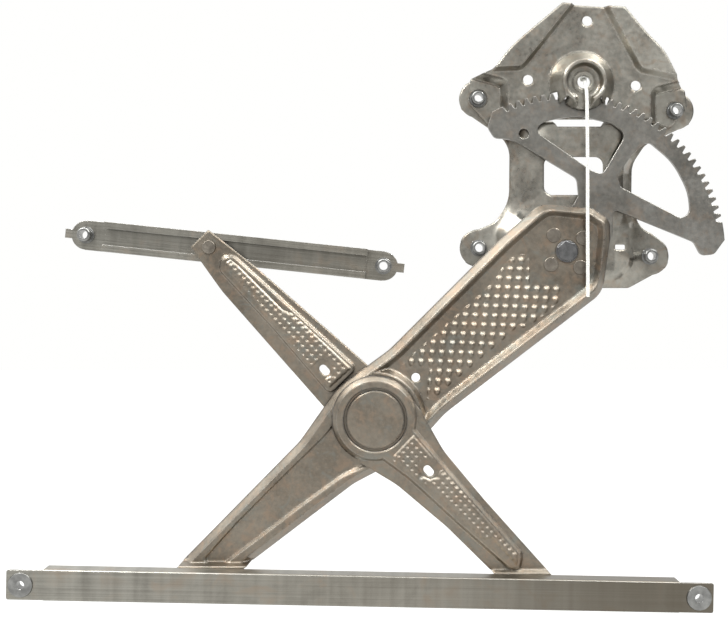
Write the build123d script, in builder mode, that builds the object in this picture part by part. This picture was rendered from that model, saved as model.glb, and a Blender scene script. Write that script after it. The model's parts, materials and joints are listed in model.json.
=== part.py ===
from build123d import *
import math
import os

# Cross-arm window regulator, in millimetres. X runs to the right and Z up as the regulator hangs
# in the door. Y points from the cabin side to the door panel: the panel's mounting face is Y = 0,
# and everything stands in front of it, towards -Y. A depth is the distance in front of that face.
# The origin is on the pinion's axis, in the mounting face.

# ---- driving dimensions -----------------------------------------------------------------------
SHEET = 1.6  # pressed arms, plates and channels
SECTOR_SHEET = 3.0
DRAFT = 38  # slope of the pressed beads and pans, in degrees from square
SEAT_GAP = 0.02  # round a part that is pressed or riveted into another
RUNNING_GAP = 0.05  # radial, between a pin and what turns on it
SIDE_GAP = 0.3  # between sheets that pass over each other

# gearing and the four pivots
MODULE = 2.0
PINION_TEETH = 10
SECTOR_FULL_TEETH = 114  # teeth on the whole circle that the sector is a part of
SECTOR_TEETH = 32
SECTOR_FIRST_TOOTH = 13.3  # degrees from +X, about the lift pivot
MESH_ANGLE = 84.5  # direction from the lift pivot to the pinion
LIFT_UPPER = 186.0  # lift pivot to scissor pivot
LIFT_UPPER_ANGLE = 221.0
LIFT_LOWER = 175.0  # scissor pivot to the lift roller
LIFT_LOWER_ANGLE = 222.2
REAR_ARM = 175.0  # scissor pivot to the guide roller
REAR_ARM_ANGLE = 134.3
FRONT_ARM = 166.0  # scissor pivot to the equalizer roller
CHANNEL_ANGLE = -1.1
BRACKET_ANGLE = -5.95

# depths in front of the mounting face
PAN_FRONT = 11.0  # base plate's raised pan
REAR_ARM_BACK = 11.2
THRUST_FACE = 12.4  # front of the pivot bush's flange
SECTOR_BACK = 12.5
BEAD_RISE = 6.5  # lift arm's perimeter bead above its back
FRONT_ARM_BACK = 24.8
TAB_BACK = 27.8  # joggled ends of the arms, behind the channel's lips
CHANNEL_BACK = 30.0
CHANNEL_DEPTH = 14.0

PITCH_RADIUS = MODULE * SECTOR_FULL_TEETH / 2
MESH_DISTANCE = PITCH_RADIUS + MODULE * PINION_TEETH / 2
ARM_BACK = SECTOR_BACK + SECTOR_SHEET
ARM_FLOOR = ARM_BACK + SHEET
BEAD_FRONT = ARM_BACK + BEAD_RISE


def toward(start, length, angle):
    """The point (x, z) at a length and angle from another one."""
    turn = math.radians(angle)
    return (start[0] + length * math.cos(turn), start[1] + length * math.sin(turn))


PINION = (0.0, 0.0)
LIFT_PIVOT = toward(PINION, -MESH_DISTANCE, MESH_ANGLE)
SCISSOR = toward(LIFT_PIVOT, LIFT_UPPER, LIFT_UPPER_ANGLE)
LIFT_ROLLER = toward(SCISSOR, LIFT_LOWER, LIFT_LOWER_ANGLE)
GUIDE_ROLLER = toward(SCISSOR, REAR_ARM, REAR_ARM_ANGLE)


def channel_height_at_scissor():
    """How far the scissor pivot stands above the glass channel's centre line."""
    dx, dz = SCISSOR[0] - LIFT_ROLLER[0], SCISSOR[1] - LIFT_ROLLER[1]
    tilt = math.radians(CHANNEL_ANGLE)
    return dz * math.cos(tilt) - dx * math.sin(tilt)


# the front arm's angle puts its roller on the channel's centre line
FRONT_ARM_ANGLE = CHANNEL_ANGLE - math.degrees(math.asin(channel_height_at_scissor() / FRONT_ARM))
EQUALIZER_ROLLER = toward(SCISSOR, FRONT_ARM, FRONT_ARM_ANGLE)

# pins and rollers
PIN_RADIUS = 4.0
PIN_HEAD_RADIUS = 5.2
PIN_HEAD = 1.5
ROLLER_FLANGE = 1.6
ROLLER_GAP = 0.3
EQUALIZER_ROLLER_GAP = 1.0  # lets the constant-ratio scissor run true in the channel

# glass channel
CHANNEL_HEIGHT = 22.0
CHANNEL_LIP = 5.4
CHANNEL_LEFT = 131.4  # lift roller to the left end of the web
CHANNEL_LENGTH = 500.0
CHANNEL_BARE_LEFT = 26.0  # web without walls at each end
CHANNEL_BARE_RIGHT = 24.0
CHANNEL_NUT_LEFT = 10.0  # nut centre from the web's end
CHANNEL_NUT_RIGHT = 10.3
TAB_HEIGHT = 21.0
CHANNEL_NUT_RADIUS = 9.0
CHANNEL_NUT_BARREL = 5.4
CHANNEL_NUT_BORE = 3.1
CHANNEL_NUT_FLANGE = 1.2
CHANNEL_NUT_LENGTH = 9.0

# guide bracket
BRACKET_HEIGHT = 22.0
BRACKET_DEPTH = 8.8
BRACKET_LIP = 5.0
BRACKET_LEFT = 79.1  # guide roller to the channel's left end
BRACKET_RIGHT = 116.4
BRACKET_NUT_LEFT = 93.5
BRACKET_NUT_RIGHT = 129.2
BRACKET_END_RADIUS = 10.8
BRACKET_OVERLAP = 22.0  # of an end plate under the channel
BRACKET_TAB_WIDTH = 6.8
BRACKET_TAB_REACH = 15.6
BRACKET_NUT_RADIUS = 6.2
BRACKET_NUT_BORE = 3.1
BRACKET_NUT_HEIGHT = 8.6

# base plate and housing plate
EAR_NUTS = {
    "upper_left": (-75.5, -9.0),
    "upper_right": (71.3, -18.0),
    "lower_left": (-75.0, -120.2),
    "lower_right": (52.6, -126.3),
}
EAR_RADIUS = 14.0
NUT_RADIUS = 6.2
NUT_BORE = 3.1
NUT_HEIGHT = 6.0
HOUSING_PANEL = 10.6  # front of the housing plate's panel
WING_RISE = 5.0
DOME_CROWN = 24.0
DOME_RADIUS = 25.0
DISH_RADIUS = 13.6
DISH_FRONT = 18.0
HUB_BORE = 4.75
HUB_COLLAR = 8.0
HUB_COLLAR_RISE = 1.2
MOTOR_HOLE = 3.7
MOTOR_HOLES = ((4.2, 46.8), (-39.4, 3.4), (40.0, -0.9))

# lift pivot
SHAFT_RADIUS = 8.0
BUSH_RADIUS = 10.5
BUSH_FLANGE_RADIUS = 15.0
SHAFT_HEAD_RADIUS = 7.7
SHAFT_HEAD = 2.4
RIVET_OFFSET = 15.2
RIVET_RADIUS = 4.0
RIVET_HEAD_RADIUS = 5.4
RIVET_HEAD = 0.6
ARBOR_RADIUS = 5.0  # shaft inside the counterbalance spring
SPRING_STRIP = 1.2
SPRING_WIDTH = 5.6
SPRING_BACK = 1.6
SPRING_PITCH = 2.4
SPRING_HALF_TURNS = 7

# scissor pivot
HUB_RADIUS = 15.0
HEAD_RADIUS = 29.5
PLATEAU_RADIUS = 20.8
GROOVE_RADIUS = 23.2
BOSS_RADIUS = 37.5  # foot of the lift arm's round boss
WASHER_RADIUS = 27.0

# shipping tie
TIE_DIAMETER = 2.0
TIE_HEAD = 4.6
TIE_HEAD_DEPTH = 3.4

os.makedirs("parts", exist_ok=True)


# ---- helpers ----------------------------------------------------------------------------------
def face(depth, at=(0.0, 0.0), angle=0.0):
    """The plane at a depth, seen from the cabin side, with its x turned by an angle."""
    turn = math.radians(angle)
    return Plane(
        origin=(at[0], -depth, at[1]),
        x_dir=(math.cos(turn), 0, math.sin(turn)),
        z_dir=(0, -1, 0),
    )


def loop(points, radii, mode=Mode.ADD):
    """A closed outline with rounded corners, as a face in the sketch that calls it."""
    with BuildLine() as outline:
        FilletPolyline(*points, radius=radii, close=True)
    make_face(outline.edges(), mode=mode)


def save(name, builder):
    builder.part.label = name
    export_step(builder.part, f"parts/{name}.step")


# ---- lift arm ---------------------------------------------------------------------------------
BEND = math.radians(LIFT_LOWER_ANGLE - LIFT_UPPER_ANGLE)


def lower(along, across):
    """A point of the arm's lower half, in the frame of its upper half."""
    x = LIFT_UPPER + along * math.cos(BEND) - across * math.sin(BEND)
    return (x, along * math.sin(BEND) + across * math.cos(BEND))


HEAD_BACK = 39.0  # lift pivot to the far edge of the arm's head
HEAD_SIDE = 39.0
WAIST = 31.0
WAIST_AT = 145.0
CENTRE = 35.0
FOOT = 15.0  # mean half width beside the roller
FOOT_AT = LIFT_LOWER + 7.0
BEAD_CREST = 1.4
LOWER_STEP = 2.2  # lower half's panel below its bands
BEAD_RUN = BEAD_RISE * math.tan(math.radians(DRAFT))


def lift_outline(inset=0.0):
    """Half widths follow the head, the waist, the round centre and the foot."""
    foot = FOOT - inset * 0.8
    points = [
        (-8.5, -HEAD_SIDE + inset),
        (-HEAD_BACK + 4.0 + inset * 0.9, -11.5 + inset * 0.2),
        (-HEAD_BACK + inset, 3.5 - inset * 0.2),
        (-HEAD_BACK + 9.0 + inset * 0.7, 14.0 - inset * 0.6),
        (0.0, HEAD_SIDE + 1.0 - inset),
        (57.0, HEAD_SIDE - 2.5 - inset),
        (WAIST_AT, WAIST - inset),
        (LIFT_UPPER, CENTRE + 1.0 - inset),
        lower(44.0, 25.0 - inset),
        lower(FOOT_AT, foot - 2.0),
        lower(FOOT_AT, -foot - 2.0),
        lower(52.0, -24.5 + inset),
        (LIFT_UPPER + 6.0, -CENTRE + inset),
        (WAIST_AT, -WAIST + inset),
        (30.0, -HEAD_SIDE + inset),
    ]
    radii = [16, 9, 9, 9, 20, 80, 60, 40, 40, 0, 0, 50, 50, 60, 120]
    loop(points, radii)


def lift_form(skin):
    """What lies under the arm's front surface, or under its back surface for a skin."""
    with BuildPart() as form:
        with BuildSketch(face(ARM_BACK, LIFT_PIVOT, LIFT_UPPER_ANGLE)):
            lift_outline(skin)
        extrude(amount=BEAD_RISE - skin, taper=DRAFT)
    return form.part


def lift_recess(skin):
    """The upper half's deep panel, up to the round boss, and the lower half's shallow one."""
    with BuildPart() as recess:
        with BuildSketch(face(BEAD_FRONT - skin, LIFT_PIVOT, LIFT_UPPER_ANGLE)):
            lift_outline(BEAD_RUN + BEAD_CREST - skin * 0.6)
            with Locations((LIFT_UPPER + FAR, 0)):
                Rectangle(2 * FAR, FAR, mode=Mode.SUBTRACT)
        extrude(amount=-(BEAD_RISE - SHEET), taper=DRAFT)
        with BuildSketch(face(ARM_FLOOR - skin, SCISSOR)):
            Circle(BOSS_RADIUS - skin * 0.6)
        extrude(amount=BEAD_RISE - SHEET, taper=DRAFT, mode=Mode.SUBTRACT)
        with BuildSketch(face(BEAD_FRONT - skin, SCISSOR, LIFT_LOWER_ANGLE)):
            loop(
                [
                    (0.0, -22.0),
                    (36.0, -16.4),
                    (84.0, -14.6),
                    (126.0, -12.4),
                    (162.5, -8.6),
                    (159.5, 4.4),
                    (115.0, 8.5),
                    (78.0, 11.8),
                    (46.0, 15.4),
                    (0.0, 30.0),
                ],
                [0, 30, 80, 60, 4, 4, 60, 60, 30, 0],
            )
            if skin:
                offset(amount=skin * 0.6)
        extrude(amount=-LOWER_STEP, taper=DRAFT)
        with BuildSketch(face(BEAD_FRONT - skin, SCISSOR)):
            Circle(WASHER_RADIUS)
        extrude(amount=-LOWER_STEP, mode=Mode.SUBTRACT)
    return recess.part


TAB_RADIUS = 13.0
TAB_END = ((0.0, TAB_RADIUS), (0.0, -TAB_RADIUS))
JOG_RUN = 2.0
JOG_CREASE = CHANNEL_HEIGHT / 2 + 0.8  # foot of the joggle above the roller's centre
TAB_FRONT = TAB_BACK + SHEET
TAB_REACH = 40.0  # of a foot along its arm, from the roller
FAR = 400.0


def joggle_clearance(at, back):
    """All that lies beyond an arm's joggle, to be cut from its pressed body."""
    with BuildPart() as beyond:
        with BuildSketch(Plane.YZ.offset(at[0])):
            with BuildLine():
                Polyline(
                    (-back + 1, at[1] + JOG_CREASE + JOG_RUN),
                    (-back - SHEET, at[1] + JOG_CREASE + JOG_RUN),
                    (-TAB_FRONT, at[1] + JOG_CREASE),
                    (-TAB_FRONT, at[1] - FAR),
                    (-back + 1, at[1] - FAR),
                    close=True,
                )
            make_face()
        extrude(amount=FAR, both=True)
    return beyond.part


def joggled_end(at, arm_angle, sides, back):
    """The foot of an arm: a slanted wall up to a flat round tab behind the channel's lips."""
    with BuildPart() as end:
        with BuildSketch(face(back, at, arm_angle)):
            with BuildLine():
                Polyline(*sides, close=True)
            make_face()
            Circle(TAB_RADIUS)
        extrude(amount=TAB_FRONT - back)
        with BuildSketch(Plane.YZ.offset(at[0])):
            with BuildLine():
                Polyline(
                    (-back, at[1] + JOG_CREASE + JOG_RUN + SHEET),
                    (-back - SHEET, at[1] + JOG_CREASE + JOG_RUN + SHEET),
                    (-back - SHEET, at[1] + JOG_CREASE + JOG_RUN),
                    (-TAB_FRONT, at[1] + JOG_CREASE),
                    (-TAB_FRONT, at[1] - TAB_RADIUS - 1),
                    (-TAB_BACK, at[1] - TAB_RADIUS - 1),
                    (-TAB_BACK, at[1] + JOG_CREASE - 0.9 * SHEET),
                    (-back, at[1] + JOG_CREASE + JOG_RUN - 0.9 * SHEET),
                    close=True,
                )
            make_face()
        extrude(amount=TAB_REACH + TAB_RADIUS, both=True, mode=Mode.INTERSECT)
    return end.part


ARM_HOLE_AT = (144.0, -3.0)
ARM_HOLE = 3.2
HUB_SEAT = HUB_RADIUS + RUNNING_GAP
COLLAR_BACK = ARM_BACK + 1.0

with BuildPart() as lift_arm:
    add(lift_form(0.0))
    add(lift_recess(0.0), mode=Mode.SUBTRACT)
    add(lift_form(SHEET) - lift_recess(SHEET), mode=Mode.SUBTRACT)
    add(joggle_clearance(LIFT_ROLLER, ARM_BACK), mode=Mode.SUBTRACT)
    sides = [(-TAB_REACH, 16.5), *TAB_END, (3.0, -17.0), (-TAB_REACH, -19.0)]
    add(joggled_end(LIFT_ROLLER, LIFT_LOWER_ANGLE, sides, ARM_BACK))
    with BuildSketch(face(COLLAR_BACK, SCISSOR)):
        Circle(HUB_SEAT + SHEET)
    extrude(amount=BEAD_FRONT - COLLAR_BACK)
    with BuildSketch(face(0, SCISSOR)):
        Circle(HUB_SEAT)
    extrude(amount=BEAD_FRONT + 1, mode=Mode.SUBTRACT)
    with BuildSketch(face(0, LIFT_PIVOT, LIFT_UPPER_ANGLE)):
        Circle(SHAFT_RADIUS + SEAT_GAP)
        with Locations(ARM_HOLE_AT):
            Circle(ARM_HOLE)
    extrude(amount=BEAD_FRONT, mode=Mode.SUBTRACT)
    with BuildSketch(face(0, LIFT_PIVOT, MESH_ANGLE - 45)):
        with PolarLocations(RIVET_OFFSET, 4):
            Circle(RIVET_RADIUS + SEAT_GAP)
    extrude(amount=BEAD_FRONT, mode=Mode.SUBTRACT)
    with BuildSketch(face(0, LIFT_ROLLER)):
        Circle(PIN_RADIUS + SEAT_GAP)
    extrude(amount=CHANNEL_BACK, mode=Mode.SUBTRACT)
save("lift_arm", lift_arm)

# ---- sector gear ------------------------------------------------------------------------------
TIP_RADIUS = PITCH_RADIUS + MODULE
ROOT_RADIUS = PITCH_RADIUS - 1.25 * MODULE
TOOTH_PITCH = 360 / SECTOR_FULL_TEETH
FLANK = math.tan(math.radians(20))
GAP_HALF = math.pi * MODULE / 4


def polar(radius, angle):
    return toward((0, 0), radius, angle)


with BuildPart() as sector_gear:
    with BuildSketch(face(SECTOR_BACK, LIFT_PIVOT)):
        loop(
            [
                polar(34, 82),
                polar(42, 78),
                polar(54, 82),
                polar(ROOT_RADIUS - 20, 116),
                polar(ROOT_RADIUS - 13, 122.5),
                polar(TIP_RADIUS - 8, 122.5),
                polar(TIP_RADIUS + 4, 116),
                polar(TIP_RADIUS + 30, 90),
                polar(TIP_RADIUS + 40, 60),
                polar(TIP_RADIUS + 30, 30),
                polar(TIP_RADIUS + 0.8, 4.6),
                polar(TIP_RADIUS - 8, -1.2),
                polar(ROOT_RADIUS - 13, -1.8),
                polar(ROOT_RADIUS - 18, 4.2),
                polar(46, 43),
                polar(36, 20),
                polar(33, -60),
                polar(33, -120),
                polar(33, 180),
                polar(33, 130),
            ],
            [3, 5, 6, 30, 5, 6, 3, 0, 0, 0, 2, 5, 5, 6, 3, 10, 12, 12, 12, 12],
        )
        Circle(TIP_RADIUS, mode=Mode.INTERSECT)
        loop(
            [
                polar(ROOT_RADIUS - 19, 105.5),
                polar(ROOT_RADIUS - 14.5, 99),
                polar(ROOT_RADIUS - 11.5, 85),
                polar(ROOT_RADIUS - 12, 70.5),
                polar(ROOT_RADIUS - 15, 63),
                polar(62.0, 65),
                polar(62.0, 73),
            ],
            [4.5, 12, 40, 8, 6, 4, 4],
            mode=Mode.SUBTRACT,
        )
        loop(
            [
                polar(ROOT_RADIUS - 11, 53.5),
                polar(ROOT_RADIUS - 9.5, 40),
                polar(ROOT_RADIUS - 12, 26),
                polar(ROOT_RADIUS - 17, 16),
                polar(ROOT_RADIUS - 25, 16.5),
                polar(61.5, 50),
                polar(66.0, 56),
                polar(86.0, 56),
            ],
            [5, 50, 40, 7, 5, 4, 4, 20],
            mode=Mode.SUBTRACT,
        )
        with Locations(polar(ROOT_RADIUS - 19.7, 110)):
            Circle(3.7, mode=Mode.SUBTRACT)
        Circle(SHAFT_RADIUS + SEAT_GAP, mode=Mode.SUBTRACT)
        with PolarLocations(RIVET_OFFSET, 4, MESH_ANGLE - 45):
            Circle(RIVET_RADIUS + SEAT_GAP, mode=Mode.SUBTRACT)
        with PolarLocations(
            PITCH_RADIUS, SECTOR_TEETH + 1, SECTOR_FIRST_TOOTH - TOOTH_PITCH / 2,
            (SECTOR_TEETH + 1) * TOOTH_PITCH,
        ):
            Polygon(
                (-1.25 * MODULE, -GAP_HALF + 1.25 * MODULE * FLANK),
                (1.5 * MODULE, -GAP_HALF - 1.5 * MODULE * FLANK),
                (1.5 * MODULE, GAP_HALF + 1.5 * MODULE * FLANK),
                (-1.25 * MODULE, GAP_HALF - 1.25 * MODULE * FLANK),
                align=None,
                mode=Mode.SUBTRACT,
            )
    extrude(amount=SECTOR_SHEET)
save("sector_gear", sector_gear)

# ---- lift pivot: shaft, bush, rivets and washer -----------------------------------------------
SHAFT_BACK = SPRING_BACK - 0.6
ARBOR_FRONT = SPRING_BACK + SPRING_WIDTH + 0.6
HEAD_FRONT = ARM_FLOOR + SHAFT_HEAD

with BuildPart() as pivot_shaft:
    with BuildSketch(face(SHAFT_BACK, LIFT_PIVOT)):
        Circle(ARBOR_RADIUS)
    extrude(amount=HEAD_FRONT - SHAFT_BACK)
    with BuildSketch(face(ARBOR_FRONT, LIFT_PIVOT)):
        Circle(SHAFT_RADIUS)
    extrude(amount=HEAD_FRONT - ARBOR_FRONT)
    with BuildSketch(face(HEAD_FRONT, LIFT_PIVOT, LIFT_UPPER_ANGLE)):
        Circle(SHAFT_RADIUS + 1)
        RegularPolygon(SHAFT_HEAD_RADIUS, 6, mode=Mode.SUBTRACT)
    extrude(amount=-SHAFT_HEAD, mode=Mode.SUBTRACT)
    with BuildSketch(face(SHAFT_BACK, LIFT_PIVOT)):
        Rectangle(3 * ARBOR_RADIUS, SPRING_STRIP + 2 * SEAT_GAP)
    extrude(amount=ARBOR_FRONT - SHAFT_BACK, mode=Mode.SUBTRACT)
save("pivot_shaft", pivot_shaft)

with BuildPart() as pivot_bush:
    with BuildSketch(face(PAN_FRONT - SHEET - 1.2, LIFT_PIVOT)):
        Circle(BUSH_RADIUS)
    extrude(amount=SHEET + 1.2)
    with BuildSketch(face(PAN_FRONT, LIFT_PIVOT)):
        Circle(BUSH_FLANGE_RADIUS)
    extrude(amount=THRUST_FACE - PAN_FRONT)
    with BuildSketch(face(0, LIFT_PIVOT)):
        Circle(SHAFT_RADIUS + RUNNING_GAP)
    extrude(amount=CHANNEL_BACK, mode=Mode.SUBTRACT)
save("pivot_bush", pivot_bush)

with BuildPart() as sector_rivets:
    with BuildSketch(face(SECTOR_BACK, LIFT_PIVOT, MESH_ANGLE - 45)):
        with PolarLocations(RIVET_OFFSET, 4):
            Circle(RIVET_RADIUS)
    extrude(amount=SECTOR_SHEET + SHEET)
    with BuildSketch(face(ARM_FLOOR, LIFT_PIVOT, MESH_ANGLE - 45)):
        with PolarLocations(RIVET_OFFSET, 4):
            Circle(RIVET_HEAD_RADIUS)
    extrude(amount=RIVET_HEAD, taper=30)
save("sector_rivets", sector_rivets)

# ---- counterbalance spring --------------------------------------------------------------------
SPRING_INNER = ARBOR_RADIUS + SPRING_STRIP / 2 + SIDE_GAP

with BuildPart() as spiral_spring:
    with BuildSketch(face(SPRING_BACK, LIFT_PIVOT)):
        with BuildLine():
            Line((-ARBOR_RADIUS + 1, 0), (SPRING_INNER, 0))
            for turn in range(SPRING_HALF_TURNS):
                side = 1 if turn % 2 == 0 else -1
                near = side * (SPRING_INNER + turn * SPRING_PITCH / 2)
                far = -side * (SPRING_INNER + (turn + 1) * SPRING_PITCH / 2)
                middle = (near + far) / 2
                CenterArc((middle, 0), abs(near - far) / 2, 0 if side == 1 else 180, 180)
        trace(line_width=SPRING_STRIP)
    extrude(amount=SPRING_WIDTH)
save("spiral_spring", spiral_spring)

SPRING_OUTER = SPRING_INNER + SPRING_HALF_TURNS * SPRING_PITCH / 2
POST_RADIUS = 2.6
SPRING_END = (LIFT_PIVOT[0] - SPRING_OUTER - SPRING_STRIP / 2 - SIDE_GAP, LIFT_PIVOT[1])

with BuildPart() as spring_post:
    with BuildSketch(face(SPRING_BACK, SPRING_END)):
        with Locations((-POST_RADIUS, 0)):
            Circle(POST_RADIUS)
    extrude(amount=PAN_FRONT - SHEET - SPRING_BACK)
save("spring_post", spring_post)

# ---- base plate -------------------------------------------------------------------------------
PAN_DRAFT = 36
PAN_TOP = [
    (-44.5, -29.0),
    (-44.5, -90.0),
    (-57.0, -112.0),
    (-50.0, -134.0),
    (-20.0, -138.0),
    (27.0, -138.0),
    (34.5, -130.0),
    (34.5, -104.0),
    (30.5, -92.0),
    (30.5, -58.0),
    (44.0, -38.0),
    (42.0, -29.0),
]
PAN_RADII = [3, 30, 12, 12, 20, 6, 6, 12, 12, 25, 6, 3]
CROSSBAR_TOP = -31.2
BASE_WINDOW_AT = (-6.0, -67.6)
BASE_WINDOW = (43.5, 28.0)
BASE_WINDOW_CORNER = 6.0
BASE_SLOT_AT = (28.3, -120.0)
BASE_SLOT = (7.4, 3.6)
BASE_SLOT_CORNER = 1.0


def base_outline():
    """Flat blank: four ears joined by a waisted frame."""
    loop(
        [
            (-75.0, -6.0),
            (-89.0, -16.0),
            (-66.5, -31.5),
            (-51.8, -42.0),
            (-52.2, -86.0),
            (-62.8, -101.0),
            (-89.0, -112.0),
            (-84.0, -134.0),
            (-40.0, -150.0),
            (36.7, -150.0),
            (66.0, -134.0),
            (66.0, -113.0),
            (45.0, -106.0),
            (38.8, -85.0),
            (39.2, -58.0),
            (48.9, -43.4),
            (82.0, -28.0),
            (71.0, -6.0),
            (45.0, -24.0),
            (17.0, -27.0),
            (14.0, CROSSBAR_TOP),
            (-18.0, CROSSBAR_TOP),
            (-21.0, -27.0),
            (-48.0, -24.0),
        ],
        [0, 0, 18, 20, 30, 18, 0, 0, 20, 6, 0, 0, 16, 40, 20, 14, 0, 0, 8, 1, 1, 1, 1, 8],
    )
    with Locations(*EAR_NUTS.values()):
        Circle(EAR_RADIUS)


def base_form(skin):
    """What lies under the raised pan's front surface, or under its back surface for a skin."""
    with BuildPart() as form:
        with BuildSketch(face(PAN_FRONT - skin)):
            loop(PAN_TOP, PAN_RADII)
            if skin:
                offset(amount=-skin * 0.6)
        extrude(amount=-(PAN_FRONT - skin), taper=-PAN_DRAFT)
    return form.part


with BuildPart() as base_plate:
    add(base_form(0.0))
    with BuildSketch(face(0)):
        base_outline()
    extrude(amount=PAN_FRONT, mode=Mode.INTERSECT)
    with BuildSketch(face(0)):
        base_outline()
    extrude(amount=SHEET)
    add(base_form(SHEET), mode=Mode.SUBTRACT)
    with BuildSketch(face(0)):
        with Locations(BASE_WINDOW_AT):
            RectangleRounded(*BASE_WINDOW, BASE_WINDOW_CORNER)
        with Locations(BASE_SLOT_AT):
            RectangleRounded(*BASE_SLOT, BASE_SLOT_CORNER)
        with Locations(LIFT_PIVOT):
            Circle(BUSH_RADIUS + SEAT_GAP)
        with Locations(*EAR_NUTS.values()):
            Circle(NUT_BORE)
    extrude(amount=PAN_FRONT, mode=Mode.SUBTRACT)
save("base_plate", base_plate)

# ---- housing plate: carries the motor and the pinion's outer bearing --------------------------
PANEL_BOTTOM = -25.9
WING_FRONT = HOUSING_PANEL + WING_RISE
DOME_DRAFT = 32
SKIRT_BOTTOM = -20.0
SKIRT_HALF = 15.5
DISH_DRAFT = 20
KEYHOLE = 7.0  # half width of the dish's open side
SECTOR_ROOM = 1.0


def housing_outline():
    """Flat blank, with the wings' long edges and a foot over each upper ear."""
    loop(
        [
            (-15.0, 59.0),
            (-53.0, 27.0),
            (-65.0, 11.0),
            (-81.2, 5.4),
            (-83.0, -12.0),
            (-66.0, -31.0),
            (-50.0, PANEL_BOTTOM),
            (48.0, PANEL_BOTTOM),
            (68.0, -31.0),
            (80.0, -16.0),
            (78.3, -3.5),
            (70.5, 3.0),
            (60.0, 24.0),
            (47.0, 37.0),
            (31.0, 56.0),
        ],
        [1, 90, 8, 1, 5, 5, 3, 3, 5, 5, 1, 9, 40, 30, 1],
    )


def housing_form(skin):
    """Panel, wings and dome, under the front surface or under the back surface for a skin."""
    grow = skin * 0.6
    with BuildPart() as form:
        with BuildSketch(face(HOUSING_PANEL - skin)):
            loop(
                [
                    (-54.0 + grow, PANEL_BOTTOM - 20.0),
                    (-54.0 + grow, 4.0 - grow),
                    (-90.0, 14.0 - grow),
                    (-40.0, 80.0),
                    (60.0, 80.0),
                    (90.0, 8.0 - grow),
                    (51.0 - grow, -2.0 - grow),
                    (51.0 - grow, PANEL_BOTTOM - 20.0),
                ],
                [0, 6, 0, 0, 0, 0, 6, 0],
            )
        extrude(amount=-(HOUSING_PANEL - SHEET), taper=-PAN_DRAFT)
        with BuildSketch(face(WING_FRONT - skin)):
            loop(
                [
                    (-8.0 - grow, 80.0),
                    (-8.0 - grow, 59.0),
                    (-45.0, 13.0 + grow),
                    (-100.0, 11.0 + grow),
                    (-100.0, 80.0),
                ],
                [0, 4, 6, 0, 0],
            )
            loop(
                [
                    (19.0 + grow, 80.0),
                    (19.0 + grow, 57.0),
                    (43.5, 11.5 + grow),
                    (100.0, -0.5 + grow),
                    (100.0, 80.0),
                ],
                [0, 4, 6, 0, 0],
            )
        extrude(amount=-(WING_RISE + SHEET), taper=-DOME_DRAFT)
        with BuildSketch(face(HOUSING_PANEL - SHEET)):
            Circle(DOME_RADIUS - grow)
            loop(
                [
                    (-DOME_RADIUS + 1.0 + grow, -6.0),
                    (-SKIRT_HALF - 6.0 + grow, SKIRT_BOTTOM),
                    (SKIRT_HALF + 3.0 - grow, SKIRT_BOTTOM),
                    (DOME_RADIUS - 1.0 - grow, -6.0),
                ],
                0,
            )
        extrude(amount=DOME_CROWN - HOUSING_PANEL + SHEET - skin, taper=DOME_DRAFT)
    return form.part


def dish_form(skin):
    """The dish inside the dome, open towards the sector."""
    with BuildPart() as form:
        with BuildSketch(face(DOME_CROWN - skin)):
            Circle(DISH_RADIUS + skin * 0.6)
            with Locations((0, -DOME_RADIUS / 2)):
                Rectangle(2 * KEYHOLE + skin * 1.2, DOME_RADIUS)
        extrude(amount=-(DOME_CROWN - DISH_FRONT), taper=DISH_DRAFT)
    return form.part


with BuildPart() as housing_plate:
    add(housing_form(0.0))
    add(dish_form(0.0), mode=Mode.SUBTRACT)
    with BuildSketch(face(SHEET)):
        housing_outline()
    extrude(amount=DOME_CROWN, mode=Mode.INTERSECT)
    with BuildSketch(face(SHEET)):
        housing_outline()
    extrude(amount=SHEET)
    add(housing_form(SHEET) - dish_form(SHEET), mode=Mode.SUBTRACT)
    with BuildSketch(face(DISH_FRONT - SHEET)):
        Circle(HUB_COLLAR)
    extrude(amount=SHEET + HUB_COLLAR_RISE)
    with BuildSketch(face(HOUSING_PANEL, LIFT_PIVOT)):
        Circle(TIP_RADIUS + SECTOR_ROOM)
    extrude(amount=SECTOR_BACK + SECTOR_SHEET + SECTOR_ROOM - HOUSING_PANEL, mode=Mode.SUBTRACT)
    with BuildSketch(face(0)):
        Circle(HUB_BORE)
        with Locations(*MOTOR_HOLES):
            Circle(MOTOR_HOLE)
        with Locations(EAR_NUTS["upper_left"], EAR_NUTS["upper_right"]):
            Circle(NUT_RADIUS + 0.4)
    extrude(amount=DOME_CROWN, mode=Mode.SUBTRACT)
save("housing_plate", housing_plate)


# ---- weld nuts --------------------------------------------------------------------------------
def weld_nuts(places, back, height, radius, bore):
    """Flanged round nuts on the front of a sheet; the screws come from the door side."""
    with BuildPart() as nuts:
        with BuildSketch(face(back)):
            with Locations(*places):
                Circle(radius)
        extrude(amount=SHEET / 2)
        with BuildSketch(face(back)):
            with Locations(*places):
                Circle(radius - 1.2)
        extrude(amount=height)
        chamfer(nuts.faces().filter_by(Axis.Y).sort_by(Axis.Y)[: len(places)].edges(), 0.6)
        with BuildSketch(face(back)):
            with Locations(*places):
                Circle(bore)
        extrude(amount=height, mode=Mode.SUBTRACT)
    return nuts


save("base_nuts", weld_nuts(EAR_NUTS.values(), SHEET, NUT_HEIGHT, NUT_RADIUS, NUT_BORE))

# ---- scissor pivot: front arm, rear arm, bush and friction washer -----------------------------
FRONT_FLANGE = FRONT_ARM_BACK + SHEET
FRONT_PANEL = TAB_FRONT - 0.2
RIM_FRONT = FRONT_PANEL
PLATEAU_FRONT = FRONT_PANEL - 0.8
PANEL_DRAFT = 40
SLOT_LENGTH = 8.6
SLOT_WIDTH = 5.6


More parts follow.
